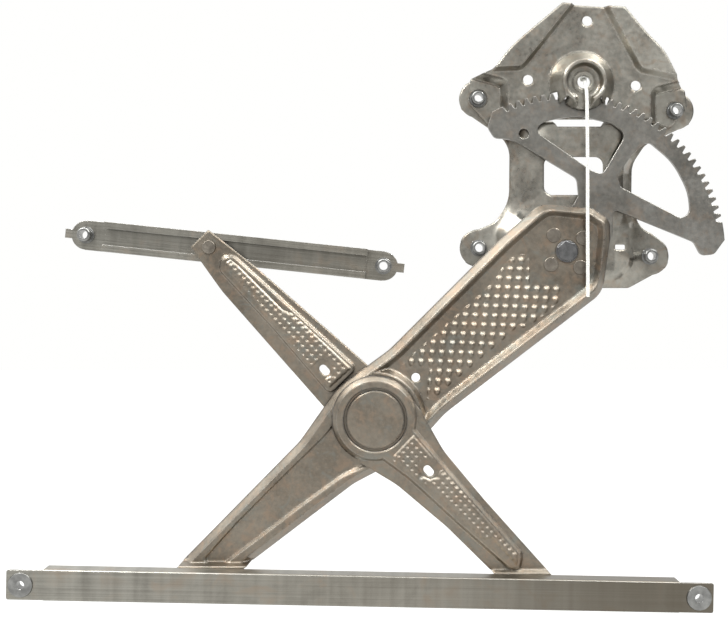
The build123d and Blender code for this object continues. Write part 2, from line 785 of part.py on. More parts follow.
def front_arm_form(skin):
    grow = skin * 0.5
    with BuildPart() as form:
        with BuildSketch(face(FRONT_PANEL - skin, SCISSOR, FRONT_ARM_ANGLE)):
            Circle(HEAD_RADIUS - 1.5 - grow)
            loop(
                [
                    (10.0, 15.5 - grow),
                    (60.0, 12.5 - grow),
                    (143.0 - grow, 11.0 - grow),
                    (149.0 - grow, 3.0),
                    (143.0 - grow, -0.5 + grow),
                    (95.0, -5.5 + grow),
                    (48.0, -9.5 + grow),
                    (10.0, -17.0 + grow),
                ],
                [0, 40, 4, 3, 3, 60, 60, 0],
            )
        extrude(amount=-(FRONT_PANEL - FRONT_ARM_BACK - skin), taper=-PANEL_DRAFT)
        with BuildSketch(face(RIM_FRONT - skin, SCISSOR)):
            Circle(GROOVE_RADIUS + grow)
        extrude(amount=-(RIM_FRONT - FRONT_FLANGE), mode=Mode.SUBTRACT)
        with BuildSketch(face(FRONT_ARM_BACK, SCISSOR)):
            Circle(PLATEAU_RADIUS - grow)
        extrude(amount=PLATEAU_FRONT - FRONT_ARM_BACK - skin)
    return form.part


with BuildPart() as front_arm:
    add(front_arm_form(0.0))
    with BuildSketch(face(FRONT_ARM_BACK, SCISSOR, FRONT_ARM_ANGLE)):
        loop(
            [
                (0.0, HEAD_RADIUS),
                (18.0, HEAD_RADIUS - 1.0),
                (50.0, 21.0),
                (95.0, 18.8),
                (FRONT_ARM + 6.0, 17.8),
                (FRONT_ARM + 6.0, -10.5),
                (92.0, -14.5),
                (45.0, -20.5),
                (18.0, -HEAD_RADIUS + 1.0),
                (0.0, -HEAD_RADIUS),
            ],
            [0, 14, 60, 60, 0, 0, 60, 60, 14, 0],
        )
        Circle(HEAD_RADIUS)
    extrude(amount=SHEET)
    add(front_arm_form(SHEET), mode=Mode.SUBTRACT)
    add(joggle_clearance(EQUALIZER_ROLLER, FRONT_ARM_BACK), mode=Mode.SUBTRACT)
    sides = [(-TAB_REACH, 19.2), (2.0, 17.8), *TAB_END, (-TAB_REACH, -11.6)]
    add(joggled_end(EQUALIZER_ROLLER, FRONT_ARM_ANGLE, sides, FRONT_ARM_BACK))
    with BuildSketch(face(0, SCISSOR, FRONT_ARM_ANGLE)):
        with Locations((53.0, 3.5)):
            SlotOverall(SLOT_LENGTH, SLOT_WIDTH)
    extrude(amount=CHANNEL_BACK, mode=Mode.SUBTRACT)
    with BuildSketch(face(0, EQUALIZER_ROLLER)):
        Circle(PIN_RADIUS + SEAT_GAP)
    extrude(amount=CHANNEL_BACK, mode=Mode.SUBTRACT)
save("front_arm", front_arm)

REAR_FLANGE = REAR_ARM_BACK + SHEET
REAR_PANEL = REAR_FLANGE + 1.7


def rear_arm_form(skin):
    grow = skin * 0.5
    with BuildPart() as form:
        with BuildSketch(face(REAR_PANEL - skin, SCISSOR, REAR_ARM_ANGLE)):
            loop(
                [
                    (36.0 + grow, 11.0 - grow),
                    (100.0, 7.0 - grow),
                    (157.0 - grow, 5.5 - grow),
                    (162.5 - grow, -1.5),
                    (157.0 - grow, -8.0 + grow),
                    (99.0, -11.5 + grow),
                    (36.0 + grow, -15.0 + grow),
                ],
                [4, 60, 5, 5, 5, 60, 4],
            )
        extrude(amount=-(REAR_PANEL - REAR_ARM_BACK - skin), taper=-PANEL_DRAFT)
    return form.part


with BuildPart() as rear_arm:
    add(rear_arm_form(0.0))
    with BuildSketch(face(REAR_ARM_BACK, SCISSOR, REAR_ARM_ANGLE)):
        loop(
            [
                (0.0, HEAD_RADIUS - 2.0),
                (20.0, 22.0),
                (88.0, 18.5),
                (145.0, 15.6),
                (REAR_ARM + 9.5, 9.5),
                (REAR_ARM + 9.5, -8.8),
                (140.0, -14.7),
                (64.0, -20.8),
                (20.0, -24.0),
                (0.0, -HEAD_RADIUS + 2.0),
            ],
            [0, 20, 60, 60, 1, 1, 60, 60, 20, 0],
        )
        Circle(HEAD_RADIUS - 2.0)
    extrude(amount=SHEET)
    add(rear_arm_form(SHEET), mode=Mode.SUBTRACT)
    with BuildSketch(face(0, SCISSOR, REAR_ARM_ANGLE)):
        with Locations((51.0, 2.0)):
            SlotOverall(SLOT_LENGTH, SLOT_WIDTH)
        with Locations((REAR_ARM, 0)):
            Circle(PIN_RADIUS + SEAT_GAP)
    extrude(amount=CHANNEL_BACK, mode=Mode.SUBTRACT)
save("rear_arm", rear_arm)

BUSH_FLANGE = 2.4

with BuildPart() as scissor_bush:
    with BuildSketch(face(REAR_FLANGE, SCISSOR)):
        Circle(HUB_RADIUS + 6.0)
    extrude(amount=BUSH_FLANGE)
    with BuildSketch(face(REAR_FLANGE, SCISSOR)):
        Circle(HUB_RADIUS)
    extrude(amount=FRONT_ARM_BACK - REAR_FLANGE)
    with BuildSketch(face(REAR_FLANGE, SCISSOR)):
        Circle(HUB_RADIUS - 4.0)
    extrude(amount=FRONT_ARM_BACK - REAR_FLANGE, mode=Mode.SUBTRACT)
save("scissor_bush", scissor_bush)

with BuildPart() as friction_washer:
    with BuildSketch(face(BEAD_FRONT + SIDE_GAP, SCISSOR)):
        Circle(WASHER_RADIUS)
        Circle(HUB_RADIUS + SEAT_GAP, mode=Mode.SUBTRACT)
    extrude(amount=FRONT_ARM_BACK - BEAD_FRONT - SIDE_GAP)
save("friction_washer", friction_washer)

# ---- pins and rollers -------------------------------------------------------------------------
CHANNEL_INSIDE = CHANNEL_HEIGHT / 2 - SHEET
CHANNEL_FRONT = CHANNEL_BACK + CHANNEL_DEPTH
ROLLER_BACK = CHANNEL_BACK + SHEET + SIDE_GAP
ROLLER_FRONT = CHANNEL_FRONT - SHEET - PIN_HEAD - 2 * SIDE_GAP


def roller(at, back, front, radius):
    """A roller with a groove round its middle, free on its pin."""
    with BuildPart() as wheel:
        with BuildSketch(face(back, at)):
            Circle(radius)
        extrude(amount=front - back)
        middle = (front + back) / 2
        with BuildSketch(face(middle - ROLLER_FLANGE / 2, at)):
            Circle(radius)
            Circle(radius - 0.8, mode=Mode.SUBTRACT)
        extrude(amount=ROLLER_FLANGE, mode=Mode.SUBTRACT)
        with BuildSketch(face(back, at)):
            Circle(PIN_RADIUS + RUNNING_GAP)
        extrude(amount=front - back, mode=Mode.SUBTRACT)
    return wheel


def pin(at, plate_back, plate_front, tip, rivet_radius, keeper):
    """A shouldered pin riveted in an arm, with a head at the plate and a keeper at its tip."""
    ahead = 1 if tip > plate_front else -1
    root = plate_back if ahead > 0 else plate_front
    with BuildPart() as stud:
        with BuildSketch(face(root, at)):
            Circle(PIN_RADIUS)
        extrude(amount=tip - root)
        with BuildSketch(face(root, at)):
            Circle(rivet_radius)
        extrude(amount=-ahead * PIN_HEAD, taper=20)
        with BuildSketch(face(tip, at)):
            Circle(keeper)
        extrude(amount=-ahead * PIN_HEAD)
    return stud


save("lift_roller", roller(LIFT_ROLLER, ROLLER_BACK, ROLLER_FRONT, CHANNEL_INSIDE - ROLLER_GAP))
save(
    "equalizer_roller",
    roller(EQUALIZER_ROLLER, ROLLER_BACK, ROLLER_FRONT, CHANNEL_INSIDE - EQUALIZER_ROLLER_GAP),
)
PIN_TIP = ROLLER_FRONT + SIDE_GAP + PIN_HEAD
save("lift_pin", pin(LIFT_ROLLER, TAB_BACK, TAB_FRONT, PIN_TIP, 7.0, PIN_HEAD_RADIUS))
save("equalizer_pin", pin(EQUALIZER_ROLLER, TAB_BACK, TAB_FRONT, PIN_TIP, 7.0, PIN_HEAD_RADIUS))

BRACKET_WEB = 2 * SHEET  # front of the bracket channel's web, on top of the end plates
BRACKET_FRONT = SHEET + BRACKET_DEPTH
GUIDE_FRONT = BRACKET_FRONT - SHEET - SIDE_GAP
GUIDE_BACK = BRACKET_WEB + 2 * SIDE_GAP + 1.0
BRACKET_INSIDE = BRACKET_HEIGHT / 2 - SHEET

save("guide_roller", roller(GUIDE_ROLLER, GUIDE_BACK, GUIDE_FRONT, BRACKET_INSIDE - ROLLER_GAP))
with BuildPart() as guide_pin:
    with BuildSketch(face(REAR_FLANGE, GUIDE_ROLLER)):
        Circle(PIN_HEAD_RADIUS)
    extrude(amount=PIN_HEAD, taper=15)
    with BuildSketch(face(GUIDE_BACK, GUIDE_ROLLER)):
        Circle(PIN_RADIUS)
    extrude(amount=REAR_FLANGE - GUIDE_BACK)
    with BuildSketch(face(BRACKET_WEB + SIDE_GAP, GUIDE_ROLLER)):
        Circle(PIN_HEAD_RADIUS)
    extrude(amount=GUIDE_BACK - BRACKET_WEB - 2 * SIDE_GAP)
    with BuildSketch(face(BRACKET_WEB + SIDE_GAP, GUIDE_ROLLER)):
        Circle(PIN_RADIUS)
    extrude(amount=GUIDE_BACK - BRACKET_WEB)
save("guide_pin", guide_pin)


# ---- glass channel ----------------------------------------------------------------------------
def along_channel(distance):
    """The plane across the glass channel, at a distance from the lift roller."""
    at = toward(LIFT_ROLLER, distance, CHANNEL_ANGLE)
    turn = math.radians(CHANNEL_ANGLE)
    return Plane(
        origin=(at[0], 0, at[1]),
        x_dir=(0, -1, 0),
        z_dir=(-math.cos(turn), 0, -math.sin(turn)),
    )


CHANNEL_RIGHT = CHANNEL_LENGTH - CHANNEL_LEFT
WALLED_LENGTH = CHANNEL_LENGTH - CHANNEL_BARE_LEFT - CHANNEL_BARE_RIGHT
LEFT_NUT = toward(LIFT_ROLLER, -CHANNEL_LEFT + CHANNEL_NUT_LEFT, CHANNEL_ANGLE)
RIGHT_NUT = toward(LIFT_ROLLER, CHANNEL_RIGHT - CHANNEL_NUT_RIGHT, CHANNEL_ANGLE)

with BuildPart() as glass_channel:
    with BuildSketch(along_channel(CHANNEL_RIGHT - CHANNEL_BARE_RIGHT)):
        half = CHANNEL_HEIGHT / 2
        with Locations((CHANNEL_BACK + CHANNEL_DEPTH / 2, 0)):
            Rectangle(CHANNEL_DEPTH, CHANNEL_HEIGHT)
        with Locations((CHANNEL_BACK + CHANNEL_DEPTH / 2, 0)):
            Rectangle(CHANNEL_DEPTH - 2 * SHEET, CHANNEL_HEIGHT - 2 * SHEET, mode=Mode.SUBTRACT)
        with Locations((CHANNEL_BACK, 0)):
            Rectangle(3 * SHEET, 2 * (half - CHANNEL_LIP), mode=Mode.SUBTRACT)
    extrude(amount=WALLED_LENGTH)
    fillet(glass_channel.edges().filter_by(Axis.Y, reverse=True).group_by(Axis.Y)[0].filter_by(
        lambda edge: edge.length > WALLED_LENGTH / 2), 1.2)
    with BuildSketch(face(CHANNEL_FRONT - SHEET, LIFT_ROLLER, CHANNEL_ANGLE)):
        with Locations(((CHANNEL_RIGHT - CHANNEL_LEFT) / 2, 0)):
            RectangleRounded(CHANNEL_LENGTH, TAB_HEIGHT, 1.5)
    extrude(amount=SHEET)
    with BuildSketch(face(0)):
        with Locations(LEFT_NUT, RIGHT_NUT):
            Circle(CHANNEL_NUT_BARREL + SEAT_GAP)
    extrude(amount=CHANNEL_FRONT + 1, mode=Mode.SUBTRACT)
save("glass_channel", glass_channel)

with BuildPart() as channel_nuts:
    with BuildSketch(face(CHANNEL_FRONT)):
        with Locations(LEFT_NUT, RIGHT_NUT):
            Circle(CHANNEL_NUT_RADIUS)
    extrude(amount=CHANNEL_NUT_FLANGE, taper=20)
    with BuildSketch(face(CHANNEL_FRONT)):
        with Locations(LEFT_NUT, RIGHT_NUT):
            Circle(CHANNEL_NUT_BARREL)
    extrude(amount=-CHANNEL_NUT_LENGTH)
    with BuildSketch(face(0)):
        with Locations(LEFT_NUT, RIGHT_NUT):
            Circle(CHANNEL_NUT_BORE)
    extrude(amount=CHANNEL_FRONT + 2 * CHANNEL_NUT_FLANGE, mode=Mode.SUBTRACT)
save("channel_nuts", channel_nuts)


# ---- guide bracket ----------------------------------------------------------------------------
def along_bracket(distance):
    at = toward(GUIDE_ROLLER, distance, BRACKET_ANGLE)
    turn = math.radians(BRACKET_ANGLE)
    return Plane(
        origin=(at[0], 0, at[1]),
        x_dir=(0, -1, 0),
        z_dir=(-math.cos(turn), 0, -math.sin(turn)),
    )


with BuildPart() as bracket_channel:
    with BuildSketch(along_bracket(BRACKET_RIGHT)):
        half = BRACKET_HEIGHT / 2
        with Locations((SHEET + BRACKET_DEPTH / 2, 0)):
            Rectangle(BRACKET_DEPTH, BRACKET_HEIGHT)
        with Locations((SHEET + BRACKET_DEPTH / 2, 0)):
            Rectangle(BRACKET_DEPTH - 2 * SHEET, BRACKET_HEIGHT - 2 * SHEET, mode=Mode.SUBTRACT)
        with Locations((BRACKET_FRONT, 0)):
            Rectangle(3 * SHEET, 2 * (half - BRACKET_LIP), mode=Mode.SUBTRACT)
    extrude(amount=BRACKET_RIGHT + BRACKET_LEFT)
save("bracket_channel", bracket_channel)


def bracket_end(side, inner, nut):
    """An end plate under the channel, with a round end and a narrow locating tab."""
    with BuildPart() as plate:
        with BuildSketch(face(0, GUIDE_ROLLER, BRACKET_ANGLE)):
            with Locations(((inner + nut) / 2 - side * BRACKET_OVERLAP / 2, 0)):
                Rectangle(abs(nut - inner) + BRACKET_OVERLAP, BRACKET_HEIGHT)
            with Locations((nut, 0)):
                Circle(BRACKET_END_RADIUS)
            with Locations((nut + side * BRACKET_TAB_REACH / 2, 0)):
                Rectangle(BRACKET_TAB_REACH, BRACKET_TAB_WIDTH)
            with Locations((nut, 0)):
                Circle(BRACKET_NUT_BORE, mode=Mode.SUBTRACT)
        extrude(amount=SHEET)
    return plate


save("bracket_end_left", bracket_end(-1, -BRACKET_LEFT, -BRACKET_NUT_LEFT))
save("bracket_end_right", bracket_end(1, BRACKET_RIGHT, BRACKET_NUT_RIGHT))
BRACKET_NUTS = [
    toward(GUIDE_ROLLER, -BRACKET_NUT_LEFT, BRACKET_ANGLE),
    toward(GUIDE_ROLLER, BRACKET_NUT_RIGHT, BRACKET_ANGLE),
]
save(
    "bracket_nuts",
    weld_nuts(BRACKET_NUTS, SHEET, BRACKET_NUT_HEIGHT, BRACKET_NUT_RADIUS, BRACKET_NUT_BORE),
)

# ---- shipping tie -----------------------------------------------------------------------------
TIE_X = 1.8
TIE_ROUTE = [
    (0.8, -14.2, 3.4),
    (1.2, -23.0, -4.5),
    (1.6, -22.4, -20.0),
    (TIE_X, -23.3, -50.0),
    (TIE_X, -23.4, -104.0),
    (TIE_X + 0.2, -23.45, -157.0),
]


def tie_radii(route):
    """Each bend's radius: 0.45 of its shorter run, divided by the tangent of half the turn."""
    radii = []
    for before, corner, after in zip(route, route[1:], route[2:]):
        first = Vector(*corner) - Vector(*before)
        second = Vector(*after) - Vector(*corner)
        half_turn = math.radians(first.get_angle(second) / 2)
        radii.append(0.45 * min(first.length, second.length) / math.tan(half_turn))
    return radii


TIE_RADII = tie_radii(TIE_ROUTE)
print("tie radii", [round(radius, 1) for radius in TIE_RADII])

with BuildPart() as tie_strap:
    with BuildLine() as route:
        FilletPolyline(*TIE_ROUTE, radius=TIE_RADII)
    start = Vector(*TIE_ROUTE[1]) - Vector(*TIE_ROUTE[0])
    with BuildSketch(Plane(origin=TIE_ROUTE[0], z_dir=start)):
        Circle(TIE_DIAMETER / 2)
    sweep(path=route.wires()[0])
save("tie_strap", tie_strap)

with BuildPart() as tie_head:
    with BuildSketch(Plane(origin=TIE_ROUTE[0], x_dir=(1, 0, 0), z_dir=start)):
        RectangleRounded(TIE_HEAD, TIE_HEAD, 0.8)
    extrude(amount=-TIE_HEAD_DEPTH)
save("tie_head", tie_head)
length = route.wires()[0].length
share = tie_strap.part.volume / (math.pi * TIE_DIAMETER**2 / 4 * length)
print("tie length", round(length, 2), "volume share", round(share, 4))
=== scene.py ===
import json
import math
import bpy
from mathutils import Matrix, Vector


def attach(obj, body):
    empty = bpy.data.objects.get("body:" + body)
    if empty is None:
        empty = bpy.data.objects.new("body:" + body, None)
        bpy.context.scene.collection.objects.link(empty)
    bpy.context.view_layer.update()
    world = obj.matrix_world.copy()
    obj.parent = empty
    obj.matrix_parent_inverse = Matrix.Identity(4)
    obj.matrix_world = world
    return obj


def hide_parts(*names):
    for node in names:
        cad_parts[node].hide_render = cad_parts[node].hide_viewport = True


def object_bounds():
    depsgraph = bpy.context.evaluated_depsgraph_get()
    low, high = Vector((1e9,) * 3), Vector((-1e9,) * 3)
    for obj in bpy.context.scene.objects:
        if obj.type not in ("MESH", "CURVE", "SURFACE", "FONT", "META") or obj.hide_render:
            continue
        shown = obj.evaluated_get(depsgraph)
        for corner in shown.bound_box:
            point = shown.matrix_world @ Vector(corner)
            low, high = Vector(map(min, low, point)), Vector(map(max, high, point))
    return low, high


bl_info = {
    "name": "Window Regulator Finish",
    "version": (1, 0, 0),
    "blender": (4, 5, 0),
    "location": "3D View > Sidebar > Regulator",
    "description": "Dresses a cross-arm window regulator: steel, embossed arms and shipping tie",
    "category": "Object",
}

import bmesh
import bpy
import numpy as np
from bpy.props import FloatProperty, FloatVectorProperty, IntProperty, PointerProperty
from mathutils import Vector

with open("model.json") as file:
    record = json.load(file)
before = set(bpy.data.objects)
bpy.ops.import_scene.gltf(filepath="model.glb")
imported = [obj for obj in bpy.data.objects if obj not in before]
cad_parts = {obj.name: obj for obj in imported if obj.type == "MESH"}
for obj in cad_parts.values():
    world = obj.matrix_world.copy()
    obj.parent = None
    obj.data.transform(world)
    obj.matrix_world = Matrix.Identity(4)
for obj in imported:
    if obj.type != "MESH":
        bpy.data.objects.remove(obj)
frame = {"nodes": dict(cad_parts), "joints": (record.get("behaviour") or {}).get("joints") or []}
CAD_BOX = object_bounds()

# ---- the regulator's own places, in metres ----------------------------------------------------
MM = 0.001
JOINTS = {joint["name"]: joint for joint in frame["joints"]}


def plan(name):
    """A pivot's place seen from the cabin side: its x and z."""
    place = JOINTS[name]["pos_m"]
    return np.array((place[0], place[2]))


SCISSOR = plan("scissor_pivot")
EQUALIZER_END = plan("equalizer_roller_spin")
GUIDE_END = plan("guide_roller_spin")

# how far the faces of the three arms' panels stand out from the door face
LIFT_PANEL = 17.1 * MM
FRONT_PANEL = 29.2 * MM
REAR_PANEL = 14.5 * MM

# how far the two roll-formed channels slope from level
GLASS_SLOPE = math.radians(-1.1)
BRACKET_SLOPE = math.radians(-5.95)


def colour(name, value, text):
    """A colour that a user may change."""
    return FloatVectorProperty(
        name=name, description=text, subtype="COLOR", size=3, min=0, max=1, default=value
    )


def length(name, value, text):
    """A length in metres that a user may change."""
    return FloatProperty(
        name=name, description=text, subtype="DISTANCE", unit="LENGTH", default=value
    )


def share(name, value, text):
    """A number from 0 to 1 that a user may change."""
    return FloatProperty(name=name, description=text, subtype="FACTOR", min=0, max=1, default=value)


def power(name, value, text):
    """A lamp's power in watts that a user may change."""
    return FloatProperty(name=name, description=text, unit="POWER", default=value)


# ---- settings ---------------------------------------------------------------------------------
class SteelSettings(bpy.types.PropertyGroup):
    """Colours and gloss of the pressed, blanked and rolled steel."""

    arm_light: colour("Arm light", (0.250, 0.220, 0.176), "Pressed steel where the film is thin")
    arm_dark: colour("Arm dark", (0.138, 0.117, 0.090), "Pressed steel under the film")
    plate_light: colour("Plate light", (0.385, 0.37, 0.325), "Pressed plate where the film is thin")
    plate_dark: colour("Plate dark", (0.175, 0.163, 0.138), "Pressed plate under the film")
    blush: colour("Blush", (0.27, 0.195, 0.135), "Warm tint of the passivation film")
    verdigris: colour("Green cast", (0.185, 0.198, 0.18), "Cool tint of the passivation film")
    gear_light: colour("Gear light", (0.255, 0.248, 0.228), "Blanked sector steel")
    gear_dark: colour("Gear dark", (0.150, 0.144, 0.128), "Blanked sector steel in its hollows")
    channel_light: colour("Channel light", (0.37, 0.36, 0.32), "Rolled steel")
    channel_dark: colour("Channel dark", (0.16, 0.152, 0.132), "Rolled steel in its streaks")
    # painted shade: the colour that darkens the channels towards +X
    channel_painted_shade: colour("Channel dull", (0.165, 0.140, 0.105), "Film that thickens along it")
    # painted shade: the colour laid into the hollows of pressed steel, darker where less sky is
    # seen
    hollow_shade: colour("Grime", (0.055, 0.048, 0.040), "Dried oil and dust in the hollows")
    edge: colour("Cut edge", (0.56, 0.55, 0.53), "Bare steel along edges")
    roughness: share("Roughness", 0.36, "Roughness of the flat faces")
    edge_radius: length("Edge radius", 0.45 * MM, "Rounding that cut edges show")
    bead_radius: length("Bead radius", 2.4 * MM, "Rounding that pressed bends show")


class EmbossSettings(bpy.types.PropertyGroup):
    """The pressed patterns on the three arms."""

    dome_pitch: length("Dome pitch", 7.1 * MM, "Pitch of the domes on the lift arm")
    dome_height: length("Dome height", 1.7 * MM, "Height of a dome over the panel")
    front_pitch: length("Front pit pitch", 6.35 * MM, "Side of a cell of pits on the front arm")
    rear_pitch: length("Rear pit pitch", 6.6 * MM, "Side of a cell of pits on the rear arm")
    pit_depth: length("Pit depth", 1.1 * MM, "Depth of a pit")
    pit_radius: length("Pit radius", 1.75 * MM, "Radius of a pit at its rim")
    step: length("Grid step", 0.42 * MM, "Distance between points of the pressed sheets")


class TieSettings(bpy.types.PropertyGroup):
    """The nylon tie that holds the mechanism for shipping."""

    width: length("Width", 2.5 * MM, "Width of the strap")
    thickness: length("Thickness", 1.1 * MM, "Thickness of the strap")
    rib_pitch: length("Rib pitch", 1.25 * MM, "Distance from rib to rib")
    rib_height: length("Rib height", 0.4 * MM, "Height of the ribs")
    tint: colour("Nylon", (0.40, 0.40, 0.38), "Colour of the nylon")
    stations: IntProperty(name="Stations", description="Sections along the strap", default=900)


class StageSettings(bpy.types.PropertyGroup):
    """Floor, lamps and camera."""

    drop: length("Floor drop", 0.26, "Floor below the regulator's lowest point")
    key: power("Left lamp", 6.5, "Power of the left lamp")
    side: power("Right lamp", 3.5, "Power of the right lamp")
    fill: share("Fill level", 0.66, "Level of the room behind the viewer")
    lens: FloatProperty(
        name="Lens", description="Focal length", subtype="DISTANCE_CAMERA", default=53.9
    )


# ---- shader maths -----------------------------------------------------------------------------
def connect(tree, socket, value):
    """Links a signal to a socket, or sets a plain value on it."""
    if isinstance(value, Signal):
        tree.links.new(value.socket, socket)
    elif hasattr(value, "__len__") and len(value) == 3 and len(socket.default_value) == 4:
        socket.default_value = (*value, 1.0)
    else:
        socket.default_value = value


def add_node(tree, kind, settings, sockets, out=0):
    """Adds a node: its settings are set first, then its sockets' values or links."""
    node = tree.nodes.new(kind)
    for key, value in settings.items():
        setattr(node, key, value)
    for key, value in sockets.items():
        connect(tree, node.inputs[key], value)
    return Signal(tree, node.outputs[out])


class Signal:
    """A socket of a node tree. Arithmetic on it adds Math nodes to the tree."""

    def __init__(self, tree, socket):
        self.tree = tree
        self.socket = socket

    def maths(self, operation, first, second):
        settings = {"operation": operation}
        return add_node(self.tree, "ShaderNodeMath", settings, {0: first, 1: second})

    def __add__(self, other):
        return self.maths("ADD", self, other)

    __radd__ = __add__

    def __sub__(self, other):
        return self.maths("SUBTRACT", self, other)

    def __rsub__(self, other):
        return self.maths("SUBTRACT", other, self)

    def __mul__(self, other):
        return self.maths("MULTIPLY", self, other)

    __rmul__ = __mul__

    def __pow__(self, other):
        return self.maths("POWER", self, other)

    def above(self, low, high):
        """0 below the low value, 1 above the high one, smooth between."""
        settings = {"interpolation_type": "SMOOTHSTEP"}
        sockets = {"Value": self, "From Min": low, "From Max": high}
        return add_node(self.tree, "ShaderNodeMapRange", settings, sockets, "Result")


class Finish:
    """A material, or the world, whose nodes are added by one method."""

    def __init__(self, name, world=False):
        store = bpy.data.worlds if world else bpy.data.materials
        self.data = store.new(name)
        self.data.use_nodes = True
        self.tree = self.data.node_tree
        self.tree.nodes.clear()
        kind = "ShaderNodeOutputWorld" if world else "ShaderNodeOutputMaterial"
        self.output = self.tree.nodes.new(kind)

    def node(self, kind, settings=None, sockets=None, out=0):
        """Adds a node and gives one of its outputs."""
        return add_node(self.tree, kind, settings or {}, sockets or {}, out)

    def shows(self, shader):
        """Ends the tree in a shader, and gives the finished material or world."""
        self.tree.links.new(shader.socket, self.output.inputs["Surface"])
        return self.data

    def surface(self, sockets):
        """Ends a material in the Principled shader."""
        return self.shows(self.node("ShaderNodeBsdfPrincipled", {}, sockets))

    def place(self, scale=(1, 1, 1), turn=(0, 0, 0)):
        """Object coordinates, turned and then stretched."""
        where = self.node("ShaderNodeTexCoord", out="Object")
        turned = self.node("ShaderNodeMapping", {}, {"Vector": where, "Rotation": turn})
        return self.node("ShaderNodeMapping", {}, {"Vector": turned, "Scale": scale})

    def axes(self, where):
        """The x, y and z of a place or a direction."""
        parts = self.node("ShaderNodeSeparateXYZ", {}, {0: where}).socket.node
        return [Signal(self.tree, part) for part in parts.outputs]

    def noise(self, where, scale, detail=3.0, rough=0.5, warp=0.0):
        """Cloudy noise whose coarsest spots are about one over the scale wide."""
        values = {"Vector": where, "Scale": scale, "Detail": detail, "Roughness": rough}
        return self.node("ShaderNodeTexNoise", {}, {**values, "Distortion": warp}, "Fac")

    def mix(self, factor, first, second):
        """The first colour where the factor is 0, the second where it is 1."""
        settings = {"data_type": "RGBA", "clamp_factor": True}
        return self.node("ShaderNodeMix", settings, {0: factor, 6: first, 7: second}, 2)

    def rounded(self, radius):
        """The normal that a rounded edge would have, and 1 on such an edge."""
        soft = self.node("ShaderNodeBevel", {"samples": 4}, {"Radius": radius})
        flat = self.node("ShaderNodeNewGeometry", out="Normal")
        turned = self.node(
            "ShaderNodeVectorMath", {"operation": "DOT_PRODUCT"}, {0: soft, 1: flat}, "Value"
        )
        return soft, (1 - turned).above(0.01, 0.12)

    def hollow(self, reach):
        """1 deep in a hollow and 0 in the open, from how much of the sky is hidden nearby."""
        settings = {"samples": 6, "only_local": True}
        open_sky = self.node("ShaderNodeAmbientOcclusion", settings, {"Distance": reach}, "AO")
        return (1 - open_sky).above(0.2, 1.0)

    def bump(self, height, depth, normal):
        """The given normal, tilted by a height whose full range is the depth in metres."""
        sockets = {"Height": height, "Distance": depth, "Strength": 1.0, "Normal": normal}
        return self.node("ShaderNodeBump", {}, sockets)


# ---- finishes ---------------------------------------------------------------------------------
WORN_PLASTIC = (0.9, 0.9, 0.88)
ASLANT = (0.4, 0.2, 1.1)  # turns the patches of film away from the clouds, in radians
HOLLOW_SHADE_REACH = 2.5 * MM  # width of the hollows that the painted shade darkens


def shaded(tint, level):
    """A colour made lighter or darker."""
    return tuple(level * part for part in tint)


def pressed_steel(name, light, dark, steel, roughness, bend, tinted=1.0, film=0.5):
    """Cold-rolled sheet with a thin oil and passivation film that dried in clouds.
    Colour runs from dark to light with a 40 mm cloud, a 3 mm mottle and fine grain. A rust and a
    green film and dark stains lie over it in patches, painted shade darkens the hollows, cut edges
    are bare, and the mottle, the grain, dents and the rounding of the bends turn the normal."""
    made = Finish(name)
    where = made.place()
    cloud = made.noise(where, scale=26.0, detail=4.0, rough=0.55, warp=0.6)
    mottle = made.noise(where, scale=310.0, detail=4.0, rough=0.6)
    grain = made.noise(where, scale=2300.0, detail=2.0, rough=0.5)
    dents = made.noise(where, scale=90.0, detail=2.0, rough=0.4)
    patch = made.noise(made.place(turn=ASLANT), scale=85.0, detail=5.0, rough=0.6, warp=0.8)
    speck = made.noise(where, scale=620.0, detail=3.0, rough=0.65).above(0.5, 0.7)
    stain = made.noise(where, scale=120.0, detail=5.0, rough=0.7, warp=0.3).above(0.60, 0.78)
    soft, bent = made.rounded(bend)
    cut = made.rounded(steel.edge_radius)[1]

    level = (cloud * 0.75 + mottle * 0.4 + grain * 0.18 - 0.17).above(0.22, 0.74)
    base = made.mix(level, dark, light)
    base = made.mix(patch.above(0.50, 0.68) * 0.6 * tinted, base, tuple(steel.blush))
    base = made.mix(speck * 0.35 * tinted, base, tuple(steel.blush))
    base = made.mix((1 - patch).above(0.54, 0.70) * 0.5 * tinted, base, tuple(steel.verdigris))
    base = made.mix(stain * 0.4, base, shaded(dark, 0.6))
    # painted shade: the hollows darkened by how much of the sky is hidden nearby
    base = made.mix(made.hollow(HOLLOW_SHADE_REACH) * 0.7, base, tuple(steel.hollow_shade))
    base = made.mix(cut * 0.5, base, tuple(steel.edge))
    rough = roughness + (mottle - 0.5) * 0.2 + (cloud - 0.5) * 0.16 + stain * 0.1 - bent * 0.06
    height = mottle * 0.35 + grain * 0.12 + dents * 1.1
    return made.surface(
        {
            "Base Color": base,
            "Metallic": 1.0,
            "Roughness": rough,
            "Normal": made.bump(height, 0.09 * MM, soft),
            "Coat Weight": film,
            "Coat Roughness": 0.3,
        }
    )


